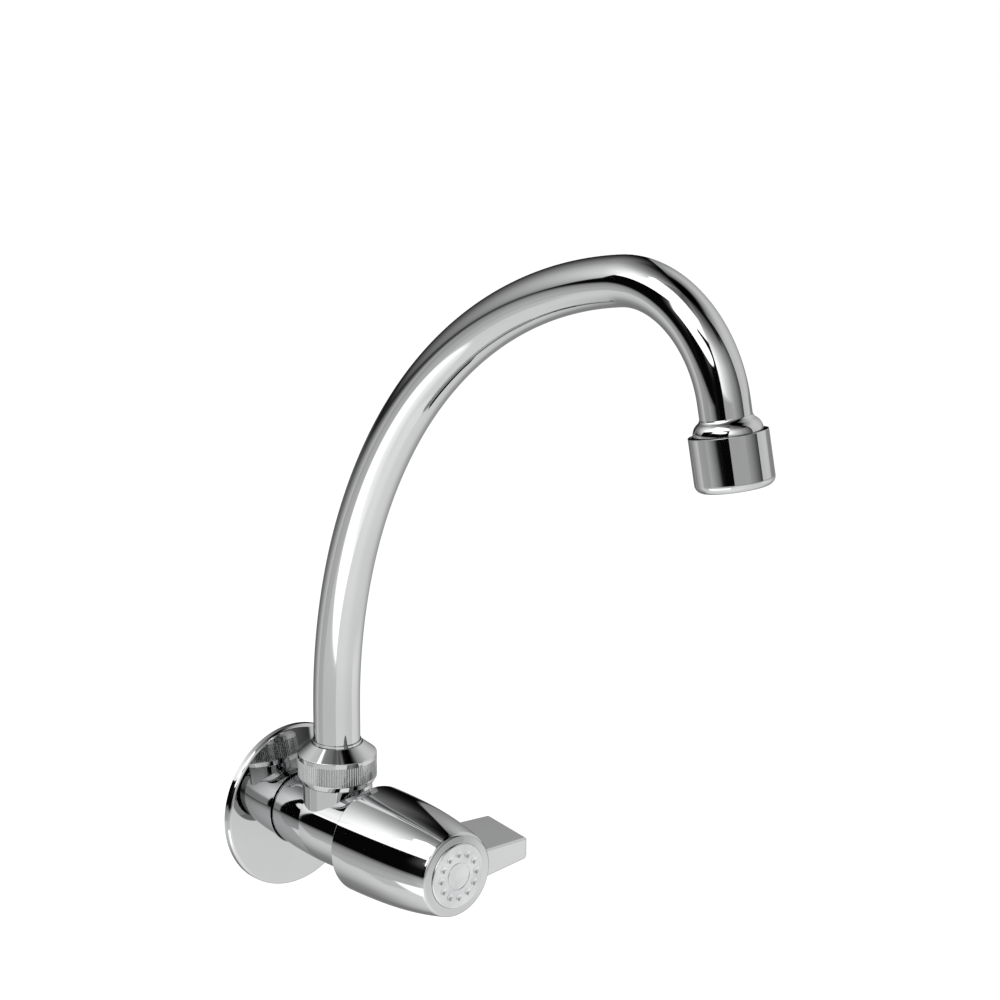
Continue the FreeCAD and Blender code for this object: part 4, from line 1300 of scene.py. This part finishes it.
@dataclass
class Spout:
    """Bent tube and the bell on its end."""

    finishes: Finishes
    path: Gooseneck
    radius: float = 8.975
    wall: float = 1.0
    columns: int = 80
    seat: float = 9.02
    foot_round: float = 2.2
    shoulder_round: float = 4.6
    shoulder_end: float = -0.4
    lean: float = 55.0
    lip: float = 15.0
    bell_radius: float = 11.9
    bell_end: float = 9.0
    bell_bore: float = 8.0

    def _rings(self, radius: float, inwards: bool) -> tuple[list[list[Vector]], list[list[Vector]]]:
        """Rings of points along the tube.

        Args:
            radius: Radius of the rings.
            inwards: Whether the surface faces the centre line.

        Returns:
            Rows of points and rows of normals.
        """
        points, normals = [], []
        for centre, heading in self.path.stations():
            side = self.path.outward(heading)
            spokes = []
            for k in range(self.columns):
                angle = math.tau * k / self.columns
                spokes.append(Vector((math.cos(angle), 0, 0)) + side * math.sin(angle))
            points.append([centre + spoke * radius for spoke in spokes])
            normals.append([-spoke if inwards else spoke for spoke in spokes])
        return points, normals

    def _shoulder(self, degrees: float) -> Pair:
        """Point of the bell's rounded shoulder, from its side wall at 0 back to lean."""
        angle = math.radians(degrees)
        return (self.bell_radius - self.shoulder_round * (1 - math.cos(angle)),
                self.shoulder_end - self.shoulder_round * math.sin(angle))

    def _foot(self, degrees: float) -> Pair:
        """Point of the hollow curve between tube and shoulder, from the tube at 0 to lean."""
        angle, whole = math.radians(degrees), math.radians(self.lean)
        radius, height = self._shoulder(self.lean)
        return (radius + self.foot_round * (math.cos(whole) - math.cos(angle)),
                height + self.foot_round * (math.sin(angle) - math.sin(whole)))

    def build(self) -> None:
        """Makes the tube and the bell."""
        outside, out_normals = self._rings(self.radius, False)
        inside, in_normals = self._rings(self.radius - self.wall, True)
        shell = Shell()
        shell.patch(outside, out_normals)
        shell.patch(inside, in_normals)
        for end, sign in ((0, -1), (-1, 1)):
            heading = self.path.stations()[end][1]
            flat = [self.path.along(heading) * sign] * self.columns
            shell.patch([outside[end], inside[end]], [flat, flat])
        mesh = shell.raw_mesh("tube", MM)
        shown(mesh, "spout_tube_polished", self.finishes.tube, Body.SPOUT, "spout_tube")
        outline = Outline(
            (self.seat, self._foot(self.lip)[1]),
            self._foot(self.lip),
            (self._foot((self.lip + self.lean) / 2), self._foot(self.lean)),
            (self._shoulder(self.lean / 2), self._shoulder(0)),
            (self.bell_radius, self.bell_end, 0.5),
            (self.bell_bore, self.bell_end),
            (self.bell_bore, self.path.socket),
            (self.seat, self.path.socket),
        )
        turned_piece(outline, self.path.outlet(), 176, "outlet_bell_polished", self.finishes.chrome,
                     Body.SPOUT, "outlet_adapter")


@dataclass
class Aerator:
    """Shell of the aerator and the moulded cup in it."""

    finishes: Finishes
    path: Gooseneck
    radius: float = 13.65
    length: float = 18.8
    edge: float = 3.0
    mouth: float = 12.6
    thread: float = 12.05
    outlet: float = 10.3
    lip: float = 16.9
    bore: float = 9.0
    cup_start: float = 10.5
    thread_start: float = 1.6
    collar_depth: float = 1.8

    def build(self) -> None:
        """Makes the shell and the cup."""
        outline = Outline(
            (self.mouth, 0, 0.12),
            (self.radius, 0, 0.2),
            (self.radius, self.length, self.edge),
            (self.outlet, self.length, 0.2),
            (self.outlet, self.lip),
            (self.thread, self.lip),
            (self.thread, self.thread_start),
            (self.mouth, self.thread_start),
        )
        turned_piece(outline, self.path.outlet(), 208, "aerator_shell_polished", self.finishes.chrome,
                     Body.SPOUT, "aerator_shell")
        collar, cup, nose = self.thread - 0.15, self.thread - 0.75, self.outlet - 0.1
        collar_end, nose_end = self.cup_start + self.collar_depth, self.length - 0.3
        outline = Outline(
            (self.bore, self.cup_start), (collar, self.cup_start), (collar, collar_end), (cup, collar_end),
            (cup, self.lip), (nose, self.lip), (nose, nose_end, 0.25), (self.bore, nose_end, 0.25),
        )
        turned_piece(outline, self.path.outlet(), 112, "aerator_cup", self.finishes.grey, Body.SPOUT,
                     "aerator_housing")


@dataclass
class Handle:
    """Hollow barrel with a wing on its right side, and the button in its front."""

    finishes: Finishes
    rear: float = 51.0
    rear_radius: float = 21.05
    curve: tuple[Pair, ...] = ((21.05, 66.97), (20.486, 82.635), (16.559, 98.303))
    rim: tuple[Pair, ...] = ((16.0787, 99.1007), (15.2347, 99.4940))
    ring_inner: float = 12.9
    ring_front: float = 99.822
    front: float = 99.85
    cavity: float = 18.7
    mouth: float = 17.4
    mouth_depth: float = 1.2
    tip_x: float = 38.3
    wing_back: float = 74.4
    wing_front: float = 96.4
    front_slant: float = 0.076
    half_thickness: float = 6.8
    taper_sideways: float = 0.067
    taper_forward: float = 0.121
    root_x: float = 8.0
    tip_rounding: float = 1.6
    edge_rounding: float = 0.7
    flat_area: float = 25.0
    cavity_end: float = 66.0
    cavity_nose: tuple[Pair, ...] = ((15.2, 82.0), (14.2, 83.0))
    hub: float = 9.6
    hub_front: float = 66.5
    insert_bore: float = 6.92
    insert_seat: float = 80.02
    screw_hole: float = 2.75
    web_front: float = 83.0
    screw_head: float = 5.5
    pocket_floor: float = 88.0
    pocket: float = 11.0
    button_radius: float = 12.6
    button_front: float = 100.45
    button_edge: float = 0.5
    button_seat: float = 97.3
    button_hollow: float = 9.7
    button_skirt: float = 10.95
    button_rear: float = 89.0
    groove: Pair = (5.05, 5.45)
    groove_depth: float = 0.2
    groove_edge: float = 0.08
    dimples: int = 12
    dimple_ball: float = 2.4
    dimple_depth: float = 0.5
    dimple_circle: float = 8.6

    def build(self) -> None:
        """Makes the handle and its button."""
        barrel = Outline(
            (0, self.rear),
            (self.rear_radius - 0.4, self.rear),
            ((self.rear_radius - 0.12, self.rear + 0.12), (self.rear_radius, self.rear + 0.4)),
            self.curve,
            self.rim,
            (self.ring_inner, self.ring_front),
            (0, self.ring_front),
        )
        hollow = Outline(
            (0, self.rear - 1),
            (self.mouth, self.rear - 1),
            (self.mouth, self.rear + self.mouth_depth),
            (self.cavity, self.rear + self.mouth_depth),
            (self.cavity, self.cavity_end),
            *self.cavity_nose,
            (self.hub, self.web_front),
            (self.hub, self.hub_front),
            (self.insert_bore, self.hub_front),
            (self.insert_bore, self.insert_seat),
            (self.screw_hole, self.insert_seat),
            (self.screw_hole, self.web_front),
            (self.screw_head, self.web_front),
            (self.screw_head, self.pocket_floor),
            (self.pocket, self.pocket_floor),
            (self.pocket, self.button_seat),
            (self.button_radius + 0.1, self.button_seat),
            (self.button_radius + 0.1, self.front + 1),
            (0, self.front + 1),
        )
        shell = Shell.turned(barrel, Axes.BODY, 256)
        shell = shell.carved(self._wing(), Carve.JOIN)
        shell = shell.carved(Shell.turned(hollow, Axes.BODY, 96), Carve.CUT)
        shown(shell.raw_mesh("handle", MM), "lever_handle_polished", self.finishes.chrome, Body.HANDLE,
              "lever_handle")
        self._button()

    def _wing(self) -> Shell:
        """The wing as a wedge with rounded edges, its root hidden in the barrel."""
        block = bmesh.new()
        rings = []
        for x in (self.root_x, self.tip_x):
            front = self.wing_front - self.front_slant * (x - self.tip_x)
            ring = []
            for out, side in ((self.wing_back, 1), (front, 1), (front, -1), (self.wing_back, -1)):
                half = (self.half_thickness - self.taper_sideways * (x - self.tip_x)
                        - self.taper_forward * (out - self.wing_back))
                ring.append(block.verts.new((x, -out, side * half)))
            rings.append(ring)
        for i in range(4):
            onward = (i + 1) % 4
            block.faces.new((rings[0][i], rings[0][onward], rings[1][onward], rings[1][i]))
        block.faces.new(rings[0])
        block.faces.new(rings[1][::-1])
        bmesh.ops.recalc_face_normals(block, faces=block.faces[:])
        upright = [e for e in block.edges if all(v.co.x > self.tip_x - NEAR for v in e.verts)
                   and abs(e.verts[0].co.z - e.verts[1].co.z) > 1]
        self._round(block, upright, self.tip_rounding, 6)
        level = [e for e in block.edges if e.verts[0].co.z * e.verts[1].co.z > 0
                 and abs(e.calc_face_angle()) > math.radians(50)
                 and not all(v.co.x < self.root_x + NEAR for v in e.verts)]
        self._round(block, level, self.edge_rounding, 4)
        shell = Shell.from_bmesh(block, self.flat_area)
        block.free()
        return shell

    @staticmethod
    def _round(block: bmesh.types.BMesh, edges: Sequence[bmesh.types.BMEdge], size: float,
               segments: int) -> None:
        """Rounds some edges of a block by a size, in a number of segments."""
        bmesh.ops.bevel(block, geom=edges, offset=size, segments=segments, profile=0.5, affect="EDGES")

    def _button(self) -> None:
        """Makes the button: rounded edge, a turned ring and a ring of round dimples."""
        front = self.button_front
        outline = Outline(
            (0, self.button_seat),
            (self.button_hollow, self.button_seat),
            (self.button_hollow, self.button_rear),
            (self.button_skirt, self.button_rear),
            (self.button_skirt, self.button_seat),
            (self.button_radius, self.button_seat),
            (self.button_radius, front, self.button_edge),
            (self.groove[1] + 0.05, front, self.groove_edge),
            (self.groove[1], front - self.groove_depth),
            (self.groove[0], front - self.groove_depth),
            (self.groove[0] - 0.05, front, self.groove_edge),
            (0, front),
        )
        shell = Shell.turned(outline, Axes.BODY, 192)
        ball = self.dimple_ball
        cutter = Outline((0, -ball), ((ball, 0), (0, ball)))
        spot = Matrix.Translation((self.dimple_circle, 0, front - self.dimple_depth + ball))
        single = Shell.turned(cutter, spot, 40)
        ring = Copies.ring(single.raw_mesh("dimple"), self.dimples, self.finishes.button)
        ring.transform(Axes.BODY)
        shell = shell.carved(shell_of(ring), Carve.CUT)
        shown(shell.raw_mesh("button", MM), "index_button_turned", self.finishes.button, Body.HANDLE,
              "index_button")


@dataclass
class HiddenPieces:
    """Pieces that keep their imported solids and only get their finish."""

    finishes: Finishes

    def build(self) -> None:
        """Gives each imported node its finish. Brass turned about the spout's axis has its own."""
        known = self.finishes
        own = {"spout_stem": known.spout_brass}
        by_slot = {finish.slot: finish for finish in (
            known.chrome, known.inlet_brass, known.rubber, known.ceramic, known.steel, known.acetal,
            known.grey, known.button)}
        for part in frame["record"]["subparts"]:
            node = frame["nodes"][part["node"]]
            finish = own.get(part["node"], by_slot[Slot(part["material_slot"])])
            for place in node.material_slots:
                place.material = finish.material()


# ------------------------------------------------------------------ studio
@dataclass
class Directions:
    """Direction from the middle of the tent, as angles in degrees."""

    sheet: NodeSheet
    azimuth: Wire = field(init=False)
    from_left: Wire = field(init=False)
    rise: Wire = field(init=False)
    back: Wire = field(init=False)

    def __post_init__(self) -> None:
        """Works the angles out of the place on the tent."""
        degrees = math.degrees(1.0)
        split = self.sheet.node("ShaderNodeSeparateXYZ", None, {0: self.sheet.place()})
        x, y, z = (Wire(self.sheet, split.outputs[i]) for i in range(3))
        level = (x * x + y * y).root()
        self.azimuth = x.angle_over(y) * degrees
        self.from_left = (0 - x / level).arc_cosine() * degrees
        self.rise = z.angle_over(level) * degrees
        self.back = (y / level).stepped(-0.1, 0.1)


@dataclass
class Tent:
    """Light tent round the object, which only its reflections see.

    Left hangs a black card with a bright window and a bright roof panel. The back and front walls
    fade from bright beside the card to dark at the far corner, the right wall is light grey, and
    the lower half is as pale as the floor, with the window's glow on it.
    """

    radius: float = 20000.0
    middle: Triple = (0.0, -90.0, 100.0)
    bright: float = 2.2
    wall: tuple[Pair, ...] = (
        (0, 1.10), (40, 1.10), (46, 1.95), (54, 1.75), (65, 1.30), (75, 1.02), (85, 0.80), (95, 0.58),
        (105, 0.47), (115, 0.31), (125, 0.16), (132, 0.04), (136, 0.005))
    right_wall: tuple[Pair, ...] = ((131, 0.84), (140, 0.86), (150, 0.93), (165, 0.99))
    back_rise: tuple[Pair, ...] = (
        (-6, 0.03), (-3, 0.05), (0, 0.26), (5, 0.40), (10, 0.53), (20, 0.80), (30, 1.0), (40, 0.93),
        (50, 0.63), (60, 0.40), (70, 0.29), (80, 0.20), (90, 0.17))
    front_rise: tuple[Pair, ...] = (
        (-6, 0.82), (10, 0.86), (20, 0.93), (30, 1.0), (40, 0.85), (50, 0.50), (60, 0.28), (70, 0.20),
        (80, 0.14), (90, 0.12))
    right_rise: tuple[Pair, ...] = (
        (-6, 1.0), (30, 1.0), (40, 0.92), (50, 0.62), (58, 0.40), (64, 0.05), (67, 0.0))
    floor_left: tuple[Pair, ...] = (
        (-28, 0.90), (-20, 0.84), (-15, 0.68), (-11, 0.62), (-8, 0.40), (-5.5, 0.19), (-4, 0.02), (-3, 0.0))
    floor_rest: tuple[Pair, ...] = (
        (-60, 1.10), (-30, 1.02), (-20, 0.94), (-15, 0.84), (-10, 0.60), (-7, 0.30), (-5, 0.05))
    floor_shade: tuple[Pair, ...] = (
        (-35, 1.0), (-25, 0.84), (-15, 0.65), (-5, 0.47), (20, 0.42), (45, 0.55), (65, 0.70), (85, 0.86),
        (105, 1.0))
    glow: tuple[Pair, ...] = (
        (-66, 1.15), (-60, 1.27), (-55, 1.42), (-50, 1.50), (-44, 1.90), (-28, 1.95))

    def build(self) -> None:
        """Makes the tent, which only glossy rays see."""
        shell = bmesh.new()
        bmesh.ops.create_uvsphere(shell, u_segments=32, v_segments=16, radius=self.radius * MM)
        mesh = bpy.data.meshes.new("tent")
        shell.to_mesh(mesh)
        shell.free()
        material = bpy.data.materials.new("tent_glow")
        material.cycles.emission_sampling = "NONE"
        sheet = NodeSheet.of(material)
        glow = sheet.wire("ShaderNodeEmission", 0, None, {"Color": self._strength(sheet), "Strength": 1.0})
        sheet.node("ShaderNodeOutputMaterial", None, {"Surface": glow})
        mesh.materials.append(material)
        tent = linked("tent", mesh)
        tent.location = Vector(self.middle) * MM
        for rays in ("camera", "diffuse", "shadow", "transmission"):
            setattr(tent, f"visible_{rays}", False)

    def _strength(self, sheet: NodeSheet) -> Wire:
        """Brightness of the tent by direction.

        Args:
            sheet: The tent's empty sheet.

        Returns:
            The brightness, with 1 as white.
        """
        at = Directions(sheet)
        half = 46.0 + at.back * (6.0 - 7.0 * at.rise.stepped(26.0, 30.0) + 7.0 * at.rise.stepped(50.0, 56.0))
        card = (half - at.from_left).stepped(-0.6, 0.6)
        low = at.rise - (at.azimuth + 125.0) * 0.04
        high = at.rise + at.azimuth.off(-86.0, 46.0).squared() * 8.0
        roof = card * low.stepped(42.8, 44.2) * high.stepped(71.0, 69.6)
        roof = roof * at.azimuth.stepped(-138.0, -132.0)
        black = card * low.stepped(44.2, 42.8)
        light = self._over(self._walls(sheet, at), black, self._streaks(sheet, at))
        light = self._over(light, roof, self.bright)
        light = self._over(light, self._window(at) * card, self.bright)
        return self._floor(sheet, at, light, card)

    @staticmethod
    def _over(under: Wire, mask: Wire, value: "Wire | float") -> Wire:
        """Lays a value over what is there, where the mask is 1."""
        return under * (1 - mask) + mask * value

    def _walls(self, sheet: NodeSheet, at: Directions) -> Wire:
        """Back, front and right walls."""
        across = self._by_angle(sheet, at.from_left, self.wall)
        behind = self._by_angle(sheet, at.rise, self.back_rise)
        behind = behind * (1 - 0.85 * at.azimuth.stepped(10.0, 38.0) * at.rise.stepped(38.0, 55.0))
        ahead = self._by_angle(sheet, at.rise, self.front_rise)
        ahead = ahead * (1 - 0.85 * at.from_left.stepped(100.0, 112.0) * at.rise.stepped(40.0, 50.0))
        back, front = across * behind, (across * ahead).smaller(0.585 + 3.0 * at.rise.stepped(5.0, 22.0))
        right = self._by_angle(sheet, at.from_left, self.right_wall)
        right = right * self._by_angle(sheet, at.rise, self.right_rise)
        right = right * (1 - 0.3 * at.back * at.from_left.stepped(150.0, 137.0))
        return self._over(self._over(front, at.back, back), self._right(at), right)

    @staticmethod
    def _right(at: Directions) -> Wire:
        """1 on the right wall, which ends a little further round in front than behind."""
        return (at.from_left - 131.5 - at.back * 5.5).stepped(-0.5, 0.5)

    @staticmethod
    def _by_angle(sheet: NodeSheet, angle: Wire, stops: Sequence[Pair]) -> Wire:
        """Even steps between values that are given at angles from -180 to 180 degrees."""
        return sheet.ramp(angle / 360 + 0.5, [(stop / 360 + 0.5, value) for stop, value in stops])

    @staticmethod
    def _streaks(sheet: NodeSheet, at: Directions) -> Wire:
        """Faint upright streaks on the black card."""
        one = at.azimuth.between((-117.0, -109.0), (-97.0, -105.0))
        two = at.azimuth.between((-81.0, -75.0), (-63.0, -71.0))
        fade = at.rise.stepped(8.0, 26.0)
        return (one + two * 0.8) * (fade * 0.13 + 0.005) + 0.003

    @staticmethod
    def _window(at: Directions) -> Wire:
        """Bright window in the black card, open towards the roof panel."""
        along = at.azimuth.off(-91.0, 38.0)
        up = (at.rise - 31.5 - (at.azimuth + 91.0) * 0.06) / 9.5
        lens = (along.squared().squared() + up.squared()).stepped(1.12, 0.95)
        bump = at.azimuth.off(-89.0, 21.0).squared() + at.rise.off(43.0, 9.0).squared()
        over = bump.stepped(1.1, 0.9)
        slope = at.rise + (at.azimuth + 69.0) * 0.5
        corner = at.azimuth.stepped(-74.0, -70.0) * slope.stepped(33.4, 34.6) * at.rise.stepped(47.5, 46.0)
        below = at.azimuth.stepped(-75.0, -70.0) * slope.stepped(34.6, 33.4)
        return (lens.larger(over) * (1 - below)).larger(corner)

    def _floor(self, sheet: NodeSheet, at: Directions, walls: Wire, card: Wire) -> Wire:
        """Pale floor below the walls, with the glow of the window on it."""
        front = (1 - at.back) * at.from_left.stepped(120.0, 70.0)
        beyond = self._right(at) * at.rise.stepped(-35.0, -25.0)
        rest = self._by_angle(sheet, at.rise, self.floor_rest) * (1 + 0.13 * front + 0.2 * beyond)
        shade = 1 - self._by_angle(sheet, at.azimuth, self.floor_shade)
        rest = rest * (1 - shade * at.rise.stepped(-62.0, -45.0))
        left = self._by_angle(sheet, at.rise, self.floor_left) * (1 - 0.2 * at.azimuth.stepped(-70.0, -64.0))
        pale = self._over(rest, at.rise.stepped(-30.0, -26.0) * card, left)
        beside = at.azimuth.between((-57.0, -52.0), (-41.0, -44.0))
        pale = pale * (1 - 0.2 * beside * at.rise.between((-41.0, -37.0), (-26.0, -28.0)))
        along = at.azimuth.off(-92.0, 37.5).squared().squared()
        down = at.rise.off(-28.0, 39.0).squared().squared()
        glow = (along + down).stepped(1.15, 0.85) * at.rise.stepped(-27.8, -29.2)
        pale = self._over(pale, glow, self._by_angle(sheet, at.rise, self.glow))
        pale = pale.larger(self._right(at) * 0.5)
        edge = at.rise.stepped(-4.0, -6.0) * (1 - card) + at.rise.stepped(-3.0, -6.0) * card
        return self._over(walls, edge, pale)


@dataclass
class Studio:
    """Floor, soft light, the tent that the metal reflects, and the camera."""

    tent: Tent = field(default_factory=Tent)
    floor_z: float = -150.0
    floor_half: float = 6000.0
    floor_white: float = 0.82
    floor_glow: float = 0.36
    world_light: float = 0.78
    camera_spot: Triple = (-868.85, -1105.34, 549.53)
    camera_tilt: float = 73.113
    camera_turn: float = -41.510
    lens: float = 138.39
    sensor: float = 36.0
    clip: Pair = (0.05, 50.0)
    target: Triple = (0.0, -120.0, 100.0)
    lamp_spot: Triple = (-300.0, -500.0, 1700.0)
    lamp_size: Pair = (1.6, 1.2)
    lamp_power: float = 8.0

    def build(self) -> None:
        """Makes everything round the object."""
        self._view()
        self._floor()
        self._world()
        self._lamp()
        self.tent.build()

    def _view(self) -> None:
        """Camera at the photograph's viewpoint, and plain colours."""
        scene = bpy.context.scene
        scene.view_settings.view_transform = "Standard"
        lens = bpy.data.cameras.new("camera")
        lens.lens = self.lens
        lens.sensor_width = self.sensor
        lens.clip_start, lens.clip_end = self.clip
        camera = linked("camera", lens)
        camera.location = Vector(self.camera_spot) * MM
        camera.rotation_euler = (math.radians(self.camera_tilt), 0, math.radians(self.camera_turn))
        scene.camera = camera

    def _floor(self) -> None:
        """Wide pale floor that shows white and keeps the object's shadow."""
        half = self.floor_half * MM
        square = ((-1, -1), (1, -1), (1, 1), (-1, 1))
        corners = [(x * half, y * half, self.floor_z * MM) for x, y in square]
        mesh = bpy.data.meshes.new("floor")
        mesh.from_pydata(corners, [], [(0, 1, 2, 3)])
        floor = linked("floor", mesh)
        material = bpy.data.materials.new("pale_floor")
        sheet = NodeSheet.of(material)
        white = (self.floor_white, self.floor_white, self.floor_white)
        color = sheet.mixed(sheet.noise(3, 2), white, dimmed(white, 0.995))
        diffuse = sheet.wire("ShaderNodeBsdfDiffuse", 0, None, {"Color": color})
        seen = sheet.looked_at() * self.floor_glow
        glow = sheet.wire("ShaderNodeEmission", 0, None, {"Color": seen, "Strength": 1.0})
        both = sheet.wire("ShaderNodeAddShader", 0, None, {0: diffuse, 1: glow})
        sheet.node("ShaderNodeOutputMaterial", None, {"Surface": both})
        mesh.materials.append(material)
        floor.visible_glossy = False

    def _world(self) -> None:
        """Even white surroundings, a little dimmer as a light than as a background."""
        world = bpy.data.worlds.new("studio")
        bpy.context.scene.world = world
        world.cycles.sampling_method = "NONE"
        sheet = NodeSheet.of(world)
        strength = sheet.looked_at() * (1.0 - self.world_light) + self.world_light
        background = sheet.wire("ShaderNodeBackground", 0, None, {"Color": strength, "Strength": 1.0})
        sheet.node("ShaderNodeOutputWorld", None, {"Surface": background})

    def _lamp(self) -> None:
        """One broad soft lamp from above, which only matt surfaces see."""
        light = bpy.data.lights.new("overhead", "AREA")
        light.shape = "RECTANGLE"
        light.size, light.size_y = self.lamp_size
        light.energy = self.lamp_power
        lamp = linked("overhead", light)
        lamp.location = Vector(self.lamp_spot) * MM
        lamp.visible_glossy = False
        aim = (Vector(self.target) * MM - lamp.location).to_track_quat("-Z", "Y")
        lamp.rotation_euler = aim.to_euler()


def main() -> None:
    """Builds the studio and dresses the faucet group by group."""
    logging.basicConfig(level=logging.INFO, format="%(name)s: %(message)s")
    Studio().build()
    finishes = Finishes()
    path = Gooseneck()
    groups = (HiddenPieces(finishes), WallFlange(finishes), ValveBody(finishes), InletNipple(finishes),
              UnionNut(finishes), Spout(finishes, path), Aerator(finishes, path), Handle(finishes))
    for group in groups:
        group.build()
        log.info("%s done", type(group).__name__)


if __name__ == "__main__":
    main()
